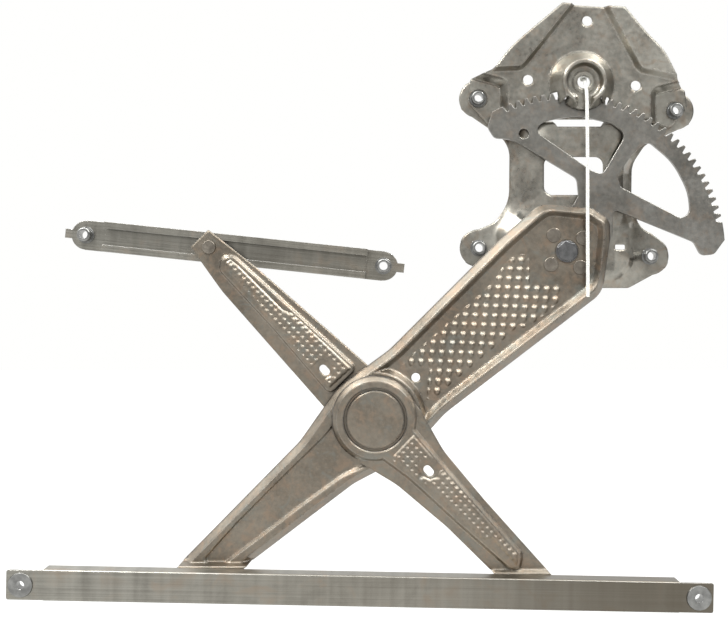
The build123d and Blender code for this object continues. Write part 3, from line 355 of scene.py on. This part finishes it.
def rolled_steel(name, slope, steel):
    """Galvanised strip, roll-formed: long streaks along the strip, faint bands across it where
    the rolls chattered, a soft spangle, and painted shade that darkens the strip towards +X."""
    made = Finish(name)
    where = made.place()
    along = made.place(scale=(6, 6, 900), turn=(0, slope, 0))
    across = made.place(scale=(160, 4, 4), turn=(0, slope, 0))
    streak = made.noise(along, scale=1.0, detail=4.0, rough=0.6)
    chatter = made.noise(across, scale=1.0, detail=2.0, rough=0.5)
    cloud = made.noise(where, scale=40.0, detail=4.0, rough=0.6, warp=0.8)
    grain = made.noise(where, scale=1500.0, detail=3.0, rough=0.6)
    # x along the strip, with a little cloud, for the painted shade
    shade_x = made.axes(where)[0] + (cloud - 0.5) * 0.12
    soft, edge = made.rounded(steel.edge_radius)

    level = (streak * 0.45 + chatter * 0.3 + cloud * 0.45 + grain * 0.2 - 0.2).above(0.2, 0.8)
    base = made.mix(level, tuple(steel.channel_dark), tuple(steel.channel_light))
    base = made.mix(cloud.above(0.50, 0.72) * 0.4, base, tuple(steel.blush))
    # painted shade: the strip darkened towards +X, more strongly in the second step
    base = made.mix(shade_x.above(-0.40, -0.15) * 0.25, base, tuple(steel.channel_painted_shade))
    base = made.mix(shade_x.above(-0.14, 0.04) * 0.7, base, shaded(steel.channel_painted_shade, 0.62))
    base = made.mix(edge * 0.6, base, tuple(steel.edge))
    height = streak * 0.8 + chatter * 1.2 + grain * 0.15
    return made.surface(
        {
            "Base Color": base,
            "Metallic": 1.0,
            "Roughness": steel.roughness - 0.02 + (streak - 0.5) * 0.22 + (cloud - 0.5) * 0.14,
            "Normal": made.bump(height, 0.05 * MM, soft),
        }
    )


def turned_steel(name, light, dark, roughness, radius, metallic=1.0):
    """Small turned or headed parts: plain plating, rubbed bright on the edges."""
    made = Finish(name)
    where = made.place()
    cloud = made.noise(where, scale=180.0, detail=4.0, rough=0.6)
    grain = made.noise(where, scale=2600.0, detail=2.0, rough=0.5)
    soft, edge = made.rounded(radius)
    base = made.mix((cloud * 0.8 + grain * 0.2).above(0.3, 0.7), dark, light)
    base = made.mix(edge * 0.5, base, shaded(light, 1.6))
    return made.surface(
        {
            "Base Color": base,
            "Metallic": metallic,
            "Roughness": roughness + (cloud - 0.5) * 0.2 - edge * 0.08,
            "Normal": made.bump(grain * 0.3 + cloud * 0.5, 0.05 * MM, soft),
        }
    )


def moulded_plastic(name, tint, roughness, scatter):
    """Moulded nylon or acetal: near white, slightly waxy, with a faint flow mottle."""
    made = Finish(name)
    where = made.place()
    flow = made.noise(where, scale=300.0, detail=3.0, rough=0.5)
    grain = made.noise(where, scale=4000.0, detail=2.0, rough=0.5)
    soft, edge = made.rounded(0.3 * MM)
    base = made.mix(flow.above(0.3, 0.8), tint, shaded(tint, 0.9))
    base = made.mix(edge * 0.3, base, WORN_PLASTIC)
    return made.surface(
        {
            "Base Color": base,
            "Roughness": roughness + (flow - 0.5) * 0.15,
            "Normal": made.bump(grain, 0.015 * MM, soft),
            "Subsurface Weight": scatter,
            "Subsurface Radius": (0.6 * MM, 0.6 * MM, 0.5 * MM),
            "Subsurface Scale": 1.0,
        }
    )


WHITE = (1.0, 1.0, 0.99)
PALE_FLOOR = (0.82, 0.82, 0.81)
FLOOR_WHITE = 0.9  # share of white that the floor shows, the rest keeps the shadow
GROUND = 0.2  # level of the room below the horizon
BOXES = 2.4  # level that the boxes overhead add to the room
SIDE_BOXES = 4.0  # what they add beyond that at the sides


def looked_at(made, mirrored=1.0):
    """1 for what the camera sees, and the given share for what metal and glass show."""
    camera, glossy, through = (
        made.node("ShaderNodeLightPath", out=kind)
        for kind in ("Is Camera Ray", "Is Glossy Ray", "Is Transmission Ray")
    )
    return camera + (glossy + through) * mirrored


def floor_finish():
    """Pale matt floor that shows white to the camera and keeps a soft shadow."""
    made = Finish("pale_floor")
    plain = made.node("ShaderNodeBsdfDiffuse", {}, {"Color": PALE_FLOOR})
    white = made.node("ShaderNodeEmission", {}, {"Color": WHITE, "Strength": 1.0})
    share_seen = looked_at(made) * FLOOR_WHITE
    return made.shows(made.node("ShaderNodeMixShader", {}, {0: share_seen, 1: plain, 2: white}))


def room_light(fill):
    """White behind the object. Elsewhere a room: a wall behind the viewer at the fill level and
    duller to the right, bright boxes overhead, brightest at the sides, and a dull ground."""
    made = Finish("studio_room", world=True)
    x, y, z = made.axes(made.node("ShaderNodeTexCoord", out="Generated"))
    behind = y.above(0.0, 0.3)
    at_side = ((x * x) ** 0.5).above(0.10, 0.35)
    boxes = z.above(0.40, 0.72) * (BOXES + at_side * SIDE_BOXES)
    wall = fill * (1.08 - x.above(0.06, 0.42) * 0.5)
    room = wall + boxes - (0 - z).above(0.05, 0.5) * (fill - GROUND)
    seen = looked_at(made, behind)
    sockets = {"Color": WHITE, "Strength": room * (1 - seen) + seen}
    return made.shows(made.node("ShaderNodeBackground", {}, sockets))


# ---- numpy surfaces ---------------------------------------------------------------------------
def chosen():
    """The groups of settings that the panel shows."""
    return bpy.context.scene.regulator


def finish_named(name):
    """A finish that has been mixed already."""
    return bpy.data.materials[name]


def smooth(value):
    """The cubic step 3t^2 - 2t^3 of a value held between 0 and 1."""
    held = np.clip(value, 0, 1)
    return held * held * (3 - 2 * held)


LEVEL_RISE = 1e-12  # stands in for the rise of a level side


def inside(points, outline):
    """Signed distance from points to a closed outline, more than 0 within it.
    The distance is the least over the outline's sides, and its sign comes from how often a ray
    to the right crosses them."""
    following = np.roll(outline, -1, axis=0)
    side = following - outline
    offset = points[..., None, :] - outline
    along = np.clip((offset * side).sum(-1) / (side**2).sum(-1), 0, 1)
    away = np.linalg.norm(offset - along[..., None] * side, axis=-1).min(-1)
    low, high = outline[:, 1], following[:, 1]
    across = (points[..., 1:] > low) != (points[..., 1:] > high)
    rise = np.where(side[:, 1] == 0, LEVEL_RISE, side[:, 1])
    reach = (points[..., 1:] - low) / rise * side[:, 0] + outline[:, 0]
    odd = (across & (points[..., :1] < reach)).sum(-1) % 2 == 1
    return np.where(odd, away, -away)


def from_corner(flat, cell, start):
    """The way to each point from the nearest corner of a lattice: the offset from its start in
    cells, less that offset rounded, turned back to metres."""
    place = (flat - start) @ np.linalg.inv(cell)
    return (place - np.round(place)) @ cell


def dress(piece, body, finish):
    """Gives a new piece its finish and the body that it rides on."""
    piece.data.shade_smooth()
    piece.data.materials.append(finish_named(finish))
    bpy.context.scene.collection.objects.link(piece)
    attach(piece, body)


def mesh_piece(name, points, quads, body, finish):
    """A piece made of points and of the quads between them."""
    mesh = bpy.data.meshes.new(name)
    mesh.from_pydata(points.tolist(), [], quads.tolist())
    piece = bpy.data.objects.new(name, mesh)
    dress(piece, body, finish)
    return piece


PROUD = 0.06 * MM  # keeps a pressed sheet clear of the panel that it lies on
STEEP = 0.4  # share of the ramp over which the sheet's edge comes up through the panel


def pressed_sheet(name, outline, origin, turn, panel, relief, body, ramp):
    """A sheet over an arm's flat panel: a grid in the arm's own plane, trimmed to the outline.
    Its height over the panel is the relief times a cubic ramp from the outline inwards, and its
    edge starts just under the panel."""
    step = chosen().emboss.step
    axes = np.array(((math.cos(turn), math.sin(turn)), (-math.sin(turn), math.cos(turn))))
    low, high = outline.min(0) - step, outline.max(0) + step
    u = np.arange(low[0], high[0], step)
    v = np.arange(low[1], high[1], step)
    flat = np.stack(np.meshgrid(u, v, indexing="ij"), axis=-1)
    edge = inside(flat, outline)
    under = (1 - smooth(edge / (STEEP * ramp))) * 2 * PROUD
    height = smooth(edge / ramp) * (relief(flat) + PROUD) - under
    place = origin + flat @ axes
    points = np.stack((place[..., 0], -(panel + height), place[..., 1]), axis=-1).reshape(-1, 3)
    index = np.arange(len(points)).reshape(edge.shape)
    quads = np.stack((index[:-1, :-1], index[1:, :-1], index[1:, 1:], index[:-1, 1:]), axis=-1)
    near = edge > -step
    quads = quads[near[:-1, :-1] & near[1:, :-1] & near[1:, 1:] & near[:-1, 1:]]
    used, quads = np.unique(quads, return_inverse=True)
    return mesh_piece(name, points[used], quads.reshape(-1, 4), body, "arm_sheet")


# ---- operators --------------------------------------------------------------------------------
CAMERA_PLACE = (-0.1604, -0.814, -0.1682)
SENSOR_WIDTH = 36.0
FAR_CLIP = 50.0


class REGULATOR_OT_camera(bpy.types.Operator):
    """Sets the camera square to the door, level with the middle of the linkage"""

    bl_idname = "regulator.camera"
    bl_label = "Camera"

    def execute(self, context):
        lens = bpy.data.cameras.new("studio_camera")
        lens.lens = chosen().stage.lens
        lens.sensor_width = SENSOR_WIDTH
        lens.clip_end = FAR_CLIP
        camera = bpy.data.objects.new("studio_camera", lens)
        camera.location = CAMERA_PLACE
        camera.rotation_euler = (math.pi / 2, 0, 0)
        context.scene.collection.objects.link(camera)
        context.scene.camera = camera
        return {"FINISHED"}


# the tie's route in millimetres: out of the pinion's hole, over the hub and straight down
TIE_ROUTE = [
    (0.8, -14.2, 3.4),
    (1.2, -23.0, -4.5),
    (1.6, -22.4, -20.0),
    (1.8, -23.3, -50.0),
    (1.8, -23.4, -104.0),
    (2.0, -23.45, -157.0),
]
TIE_RING = 20  # points round the strap
TIE_SQUARENESS = 0.5  # power that turns the ring from an ellipse towards a rectangle
RIB_SHARE = 0.36  # half the ribs' length over the strap's width
RIB_WAVE = (-0.3, 0.6)  # where the wave along the strap is cut off into ribs and gaps
TIE_TIP = (0.3 * MM, 0.02)  # length over which the ends narrow, and what is left of them
END_ON = 0.2  # where the strap runs nearer than this to end-on, it lies level across


class REGULATOR_OT_tie(bpy.types.Operator):
    """Runs the ribbed nylon tie out of the pinion's hole and down in front of the lift arm"""

    bl_idname = "regulator.tie"
    bl_label = "Shipping tie"

    def execute(self, context):
        tie = chosen().tie
        route = bpy.data.curves.new("tie_route", "CURVE")
        route.dimensions = "3D"
        line = route.splines.new("NURBS")
        line.points.add(len(TIE_ROUTE) - 1)
        for point, place in zip(line.points, TIE_ROUTE):
            point.co = (*(value * MM for value in place), 1.0)
        line.order_u = 3
        line.use_endpoint_u = True
        line.resolution_u = 24
        holder = bpy.data.objects.new("tie_route", route)
        context.scene.collection.objects.link(holder)
        context.view_layer.update()
        drawn = bpy.data.meshes.new_from_object(holder)
        path = np.array([tuple(vertex.co) for vertex in drawn.vertices])
        bpy.data.objects.remove(holder)
        strap = tie_strap(path, tie)
        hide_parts("tie_strap")
        return {"FINISHED"}


def tie_strap(path, tie):
    """A flat strap along the path: at each station a rounded rectangle, whose front stands out
    by the rib height times a clipped cosine of the distance along the path. Both ends narrow."""
    steps = np.linalg.norm(np.diff(path, axis=0), axis=1)
    travel = np.concatenate(((0,), np.cumsum(steps)))
    stations = np.linspace(0, travel[-1], tie.stations)
    spine = np.stack([np.interp(stations, travel, path[:, k]) for k in range(3)], axis=-1)
    ahead = np.gradient(spine, axis=0)
    ahead /= np.linalg.norm(ahead, axis=1, keepdims=True)
    side = np.cross(ahead, (0, -1, 0))
    level = np.linalg.norm(side, axis=1, keepdims=True) < END_ON
    across = np.where(level, (1.0, 0, 0), side)
    across /= np.linalg.norm(across, axis=1, keepdims=True)
    front = np.cross(across, ahead)
    turn = np.linspace(0, 2 * np.pi, TIE_RING, endpoint=False)
    wide, deep = (
        np.sign(part) * np.abs(part) ** TIE_SQUARENESS * size / 2
        for part, size in ((np.cos(turn), tie.width), (np.sin(turn), tie.thickness))
    )
    wave = np.clip(np.cos(2 * np.pi * stations / tie.rib_pitch), *RIB_WAVE)
    ribbed = (np.abs(wide) < RIB_SHARE * tie.width) & (deep > 0)
    ribs = wave[:, None] * ribbed * tie.rib_height
    length_of_tip, left = TIE_TIP
    end = smooth(np.minimum(stations, travel[-1] - stations) / length_of_tip)[:, None]
    end = left + (1 - left) * end
    points = (
        spine[:, None]
        + across[:, None] * (wide * end)[..., None]
        + front[:, None] * ((deep + ribs) * end)[..., None]
    )
    index = np.arange(tie.stations * TIE_RING).reshape(tie.stations, TIE_RING)
    index = np.concatenate((index, index[:, :1]), axis=1)
    quads = np.stack((index[:-1, :-1], index[:-1, 1:], index[1:, 1:], index[1:, :-1]), axis=-1)
    return mesh_piece(
        "shipping_tie", points.reshape(-1, 3), quads.reshape(-1, 4), "base", "nylon"
    )


# the nuts on the base plate's ears and the plate's middle, seen from the cabin side
EAR_NUTS = np.array(((-75.5, -9.0), (71.3, -18.0), (-75.0, -120.2), (52.6, -126.3))) * MM
PLATE_MIDDLE = np.array((-10.0, -75.0)) * MM
EAR_RADIUS = 14.3 * MM
EAR_REACH = 20.0 * MM
EAR_SIDE = 0.05  # least cosine between the way out of the plate and the way to a point
EAR_CUTS = 5  # cuts in each edge at an ear's corner
MERGED = 0.002 * MM  # points closer than this are one
SHARP_ANGLE = math.radians(25)


def values_of(rows, name, width, kind=np.float64):
    """One property of all the vertices or edges of a mesh, as an array with a row for each."""
    values = np.empty(width * len(rows), kind)
    rows.foreach_get(name, values)
    return values.reshape(-1, width)


def ear_corners(places):
    """For each place the nut of the nearest ear, how far off it is, whether the place is on the
    ear's outer side within reach, and whether it is outside the ear's round edge as well."""
    far = np.linalg.norm(places[:, None] - EAR_NUTS, axis=-1)
    nut = EAR_NUTS[far.argmin(1)]
    far = far.min(1)
    out = nut - PLATE_MIDDLE
    out /= np.linalg.norm(out, axis=1, keepdims=True)
    outer = (((places - nut) * out).sum(1) > EAR_SIDE * far) & (far < EAR_REACH)
    return nut, far, outer, outer & (far > EAR_RADIUS)


class REGULATOR_OT_base_ears(bpy.types.Operator):
    """Rounds the corners of the base plate's four ears about their nuts"""

    bl_idname = "regulator.base_ears"
    bl_label = "Base plate ears"

    def execute(self, context):
        """A merged copy of the plate has the edges at the ears' corners cut up. Each point
        further from the ear's nut than the ear's radius is then drawn in to that radius."""
        mesh = bpy.data.meshes.new("base_sheet")
        merged = bmesh.new()
        merged.from_mesh(frame["nodes"]["base_plate"].data)
        bmesh.ops.remove_doubles(merged, verts=merged.verts, dist=MERGED)
        merged.to_mesh(mesh)
        ends = values_of(mesh.edges, "vertices", 2, np.int32)
        outer, corner = ear_corners(values_of(mesh.vertices, "co", 3)[:, (0, 2)])[2:]
        split = np.flatnonzero(outer[ends].all(1) & corner[ends].any(1))
        merged.edges.ensure_lookup_table()
        bmesh.ops.subdivide_edges(merged, edges=[merged.edges[k] for k in split], cuts=EAR_CUTS)
        merged.to_mesh(mesh)
        merged.free()

        points = values_of(mesh.vertices, "co", 3)
        places = points[:, (0, 2)]
        nut, far, outer, corner = ear_corners(places)
        drawn_in = nut + (places - nut) * (EAR_RADIUS / np.maximum(far, MM))[:, None]
        points[:, (0, 2)] = np.where(corner[:, None], drawn_in, places)
        mesh.vertices.foreach_set("co", points.ravel())
        piece = bpy.data.objects.new("base_sheet", mesh)
        dress(piece, "base", "plate_sheet")
        mesh.set_sharp_from_angle(angle=SHARP_ANGLE)
        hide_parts("base_plate")
        return {"FINISHED"}


# which pieces of the frame each finish is for
WEARS = {
    "arm_sheet": ("lift_arm", "front_arm", "rear_arm"),
    "plate_sheet": ("base_plate", "housing_plate"),
    "gear_sheet": ("sector_gear",),
    "glass_strip": ("glass_channel",),
    "bracket_strip": ("bracket_channel", "bracket_end_left", "bracket_end_right"),
    "zinc": (
        "base_nuts", "channel_nuts", "bracket_nuts", "spring_post", "lift_pin", "equalizer_pin",
    ),
    "rivet_steel": ("sector_rivets", "guide_pin"),
    "black_oxide": ("pivot_shaft",),
    "blued_spring": ("spiral_spring",),
    "sintered": ("pivot_bush", "scissor_bush", "friction_washer"),
    "nylon": ("tie_head", "tie_strap"),
    "acetal": ("lift_roller", "equalizer_roller", "guide_roller"),
}
# light colour, dark colour, roughness, edge rounding and metallic of the small turned parts
PLATINGS = {
    "zinc": ((0.30, 0.30, 0.29), (0.17, 0.17, 0.165), 0.34, 0.3 * MM, 1.0),
    "rivet_steel": ((0.25, 0.225, 0.19), (0.15, 0.132, 0.11), 0.38, 0.5 * MM, 1.0),
    "black_oxide": ((0.15, 0.15, 0.15), (0.07, 0.07, 0.072), 0.38, 0.9 * MM, 0.9),
    "blued_spring": ((0.20, 0.19, 0.19), (0.10, 0.10, 0.11), 0.36, 0.2 * MM, 1.0),
    "sintered": ((0.27, 0.26, 0.24), (0.16, 0.155, 0.145), 0.48, 0.3 * MM, 1.0),
}
ACETAL = (0.78, 0.77, 0.72)


class REGULATOR_OT_finishes(bpy.types.Operator):
    """Mixes the finishes and gives one to each piece of the frame"""

    bl_idname = "regulator.finishes"
    bl_label = "Finishes"

    def execute(self, context):
        steel = chosen().steel
        rough = steel.roughness
        bead, cut = steel.bead_radius, steel.edge_radius
        arm = tuple(steel.arm_light), tuple(steel.arm_dark)
        plate = tuple(steel.plate_light), tuple(steel.plate_dark)
        gear = tuple(steel.gear_light), tuple(steel.gear_dark)
        pressed_steel("arm_sheet", *arm, steel, rough, bead)
        pressed_steel("plate_sheet", *plate, steel, rough - 0.04, bead, tinted=0.7)
        pressed_steel("gear_sheet", *gear, steel, rough + 0.02, 2 * cut, tinted=0.5, film=0.2)
        rolled_steel("glass_strip", GLASS_SLOPE, steel)
        rolled_steel("bracket_strip", BRACKET_SLOPE, steel)
        for name, plating in PLATINGS.items():
            turned_steel(name, *plating)
        moulded_plastic("nylon", tuple(chosen().tie.tint), roughness=0.42, scatter=0.12)
        moulded_plastic("acetal", ACETAL, roughness=0.3, scatter=0.1)
        for finish, nodes in WEARS.items():
            for name in nodes:
                mesh = frame["nodes"][name].data
                mesh.materials.clear()
                mesh.materials.append(finish_named(finish))
        return {"FINISHED"}


# the waffle: its lattice's columns and rows and a dome's half width and height in shares of the
# pitch, the middle of one dome, the outline in millimetres, and how far the domes take to rise
DOME_CELL = np.array(((1.0, -0.028), (0.117, 0.972)))
DOME_REACH = np.array((0.34, 0.42))
DOME_MIDDLE = np.array((-64.8, -171.7)) * MM
DOME_CURVE = 1.6  # square of the cap's sphere over the square of its reach
DOME_RAMP = 1.6 * MM
WAFFLE = np.array(
    [
        (-134.1, -210.0), (-134.1, -207.4), (-129.3, -201.3), (-119.8, -193.3), (-112.7, -187.0),
        (-104.8, -180.7), (-97.7, -173.5), (-89.7, -166.8), (-82.6, -160.5), (-74.7, -153.7),
        (-66.8, -145.8), (-58.0, -132.3), (-50.1, -125.2), (-39.0, -125.2), (-39.0, -147.0),
        (-16.8, -147.4), (-15.3, -157.7), (-23.2, -167.2), (-31.9, -173.5), (-40.6, -179.9),
        (-48.5, -179.1), (-55.7, -186.2), (-63.6, -192.9), (-71.5, -199.7), (-79.4, -206.4),
        (-87.4, -213.2), (-95.3, -219.5), (-102.4, -226.6), (-110.3, -233.0), (-115.1, -232.2),
        (-114.5, -224.2), (-113.5, -213.2), (-112.7, -210.0),
    ]
)


class REGULATOR_OT_lift_waffle(bpy.types.Operator):
    """Presses the waffle pattern into the lift arm's panel"""

    bl_idname = "regulator.lift_waffle"
    bl_label = "Lift arm waffle"

    def execute(self, context):
        emboss = chosen().emboss
        cell = DOME_CELL * emboss.dome_pitch
        reach = DOME_REACH * emboss.dome_pitch

        def domes(flat):
            """Caps of a sphere stretched to an ellipse, one at each corner of the lattice: the
            height times root(c - q^2) less root(c - 1), over root c less root(c - 1), where c is
            the dome curve and q the distance from the cap's middle over its reach, at most 1."""
            q = np.linalg.norm(from_corner(flat, cell, DOME_MIDDLE) / reach, axis=-1)
            brim = math.sqrt(DOME_CURVE - 1)
            cap = np.sqrt(DOME_CURVE - np.minimum(q, 1) ** 2) - brim
            return cap / (math.sqrt(DOME_CURVE) - brim) * emboss.dome_height

        pressed_sheet(
            "lift_arm_waffle", WAFFLE * MM, np.zeros(2), 0.0, LIFT_PANEL, domes, "lift_arm",
            DOME_RAMP,
        )
        return {"FINISHED"}


# the pits: the middle of one on each arm, seen from the cabin side, and the outlines in the
# arm's own plane, from the scissor pivot along the arm and across it, all in millimetres
FRONT_PIT = np.array((-72.0, -321.7))
REAR_PIT = np.array((-245.1, -151.9))
FRONT_PITS = np.array(
    [
        (26.0, 13.4), (49.0, 12.6), (52.0, 11.0), (47.5, 8.5), (45.5, 3.5), (47.5, -0.5),
        (53.0, -2.0), (58.0, 0.5), (59.8, 4.5), (58.0, 9.5), (59.0, 12.0), (77.0, 11.7),
        (142.0, 10.4), (147.5, 3.2), (119.0, 3.3), (117.0, -2.2), (62.0, -4.8), (54.0, -8.0),
        (38.5, -9.8), (31.0, -12.2), (27.5, -9.0),
    ]
)
REAR_PITS = np.array(
    [
        (157.5, -5.5), (158.5, -1.5), (156.0, 3.0), (119.5, 3.6), (118.5, 5.4), (100.0, 6.4),
        (66.0, 8.2), (59.5, 8.9), (58.3, 5.5), (58.5, 0.5), (56.5, -3.0), (52.0, -3.8),
        (47.5, -2.0), (45.5, 2.0), (46.5, 6.0), (45.0, 9.4), (38.5, 9.8), (37.5, -13.5),
        (58.0, -12.6), (98.0, -10.3), (104.0, -7.2), (150.0, -6.6),
    ]
)
PIT_FLAT = 1.15  # more than 1 gives a pit a flat bottom
PIT_RAMP = 2.2 * MM


def pits(cell, start, radius, depth):
    """A relief of round pits at the corners and the middles of a lattice's cells.
    A pit's share of the depth is the cubic step of the flat factor times one less the distance
    from its middle over its radius."""

    def relief(flat):
        height = np.ones(flat.shape[:-1])
        for shift in (0.0, 0.5):
            away = np.linalg.norm(from_corner(flat, cell, start - shift * cell.sum(0)), axis=-1)
            height -= smooth(PIT_FLAT * (1 - away / radius))
        return height * depth

    return relief


class REGULATOR_OT_arm_pits(bpy.types.Operator):
    """Presses the rows of pits into the front and rear arms' panels"""

    bl_idname = "regulator.arm_pits"
    bl_label = "Arm pits"

    def execute(self, context):
        emboss = chosen().emboss
        front = EQUALIZER_END, FRONT_PANEL, FRONT_PITS, emboss.front_pitch, FRONT_PIT
        rear = GUIDE_END, REAR_PANEL, REAR_PITS, emboss.rear_pitch, REAR_PIT
        for name, (end, panel, outline, pitch, pit) in (
            ("front_arm_pits", front), ("rear_arm_pits", rear),
        ):
            along = (end - SCISSOR) / np.linalg.norm(end - SCISSOR)
            axes = np.array((along, (-along[1], along[0])))
            relief = pits(
                pitch * axes.T, (pit * MM - SCISSOR) @ axes.T, emboss.pit_radius, emboss.pit_depth
            )
            turn = math.atan2(along[1], along[0])
            pressed_sheet(
                name, outline * MM, SCISSOR, turn, panel, relief, "equalizer", PIT_RAMP
            )
        return {"FINISHED"}


FLOOR_HALF = 8.0  # half the side of the floor
# name, place, side of the lamp's square and the setting that holds its power
LAMPS = (
    ("left_lamp", (-0.62, -0.46, 0.60), 0.16, "key"),
    ("right_lamp", (0.42, -0.44, 0.64), 0.12, "side"),
)


class REGULATOR_OT_stage(bpy.types.Operator):
    """Sets the pale floor, the lamps and the room's light"""

    bl_idname = "regulator.stage"
    bl_label = "Stage"

    def execute(self, context):
        stage = chosen().stage
        level = CAD_BOX[0].z - stage.drop
        ends = (-FLOOR_HALF, FLOOR_HALF)
        mesh = bpy.data.meshes.new("studio_floor")
        mesh.from_pydata([(x, y, level) for x in ends for y in ends], [], [(0, 2, 3, 1)])
        mesh.materials.append(floor_finish())
        floor = bpy.data.objects.new("studio_floor", mesh)
        context.scene.collection.objects.link(floor)
        context.scene.world = room_light(stage.fill)
        middle = (CAD_BOX[0] + CAD_BOX[1]) / 2
        for name, place, side, setting in LAMPS:
            light = bpy.data.lights.new(name, "AREA")
            light.shape = "SQUARE"
            light.size = side
            light.energy = getattr(stage, setting)
            lamp = bpy.data.objects.new(name, light)
            lamp.location = place
            lamp.rotation_mode = "QUATERNION"
            lamp.rotation_quaternion = (middle - Vector(place)).to_track_quat("-Z", "Y")
            context.scene.collection.objects.link(lamp)
        context.scene.view_settings.view_transform = "Standard"
        return {"FINISHED"}


OWN_FROM = 2  # a group's first two properties are Blender's own


class REGULATOR_PT_panel(bpy.types.Panel):
    """Lists the regulator's settings and operators"""

    bl_idname = "REGULATOR_PT_panel"
    bl_label = "Window regulator"
    bl_space_type = "VIEW_3D"
    bl_region_type = "UI"
    bl_category = "Regulator"

    def draw(self, context):
        regulator = context.scene.regulator
        for group in (regulator.steel, regulator.emboss, regulator.tie, regulator.stage):
            column = self.layout.column(align=True)
            for name in group.bl_rna.properties.keys()[OWN_FROM:]:
                column.prop(group, name)
        for operator in OPERATORS:
            self.layout.operator(operator.bl_idname)


class RegulatorSettings(bpy.types.PropertyGroup):
    """All the settings of the regulator's finish."""

    steel: PointerProperty(type=SteelSettings)
    emboss: PointerProperty(type=EmbossSettings)
    tie: PointerProperty(type=TieSettings)
    stage: PointerProperty(type=StageSettings)


GROUPS = (SteelSettings, EmbossSettings, TieSettings, StageSettings, RegulatorSettings)
OPERATORS = (
    REGULATOR_OT_camera,
    REGULATOR_OT_finishes,
    REGULATOR_OT_tie,
    REGULATOR_OT_base_ears,
    REGULATOR_OT_lift_waffle,
    REGULATOR_OT_arm_pits,
    REGULATOR_OT_stage,
)


def register():
    """Makes the settings, the operators and the panel known to Blender."""
    for made in (*GROUPS, *OPERATORS, REGULATOR_PT_panel):
        bpy.utils.register_class(made)
    bpy.types.Scene.regulator = PointerProperty(type=RegulatorSettings)


def unregister():
    """Takes them back out, last first."""
    del bpy.types.Scene.regulator
    for made in reversed((*GROUPS, *OPERATORS, REGULATOR_PT_panel)):
        bpy.utils.unregister_class(made)


def main():
    """Runs the operators in order."""
    register()
    for operator in OPERATORS:
        group, name = operator.bl_idname.split(".")
        getattr(getattr(bpy.ops, group), name)()


if __name__ == "__main__":
    main()
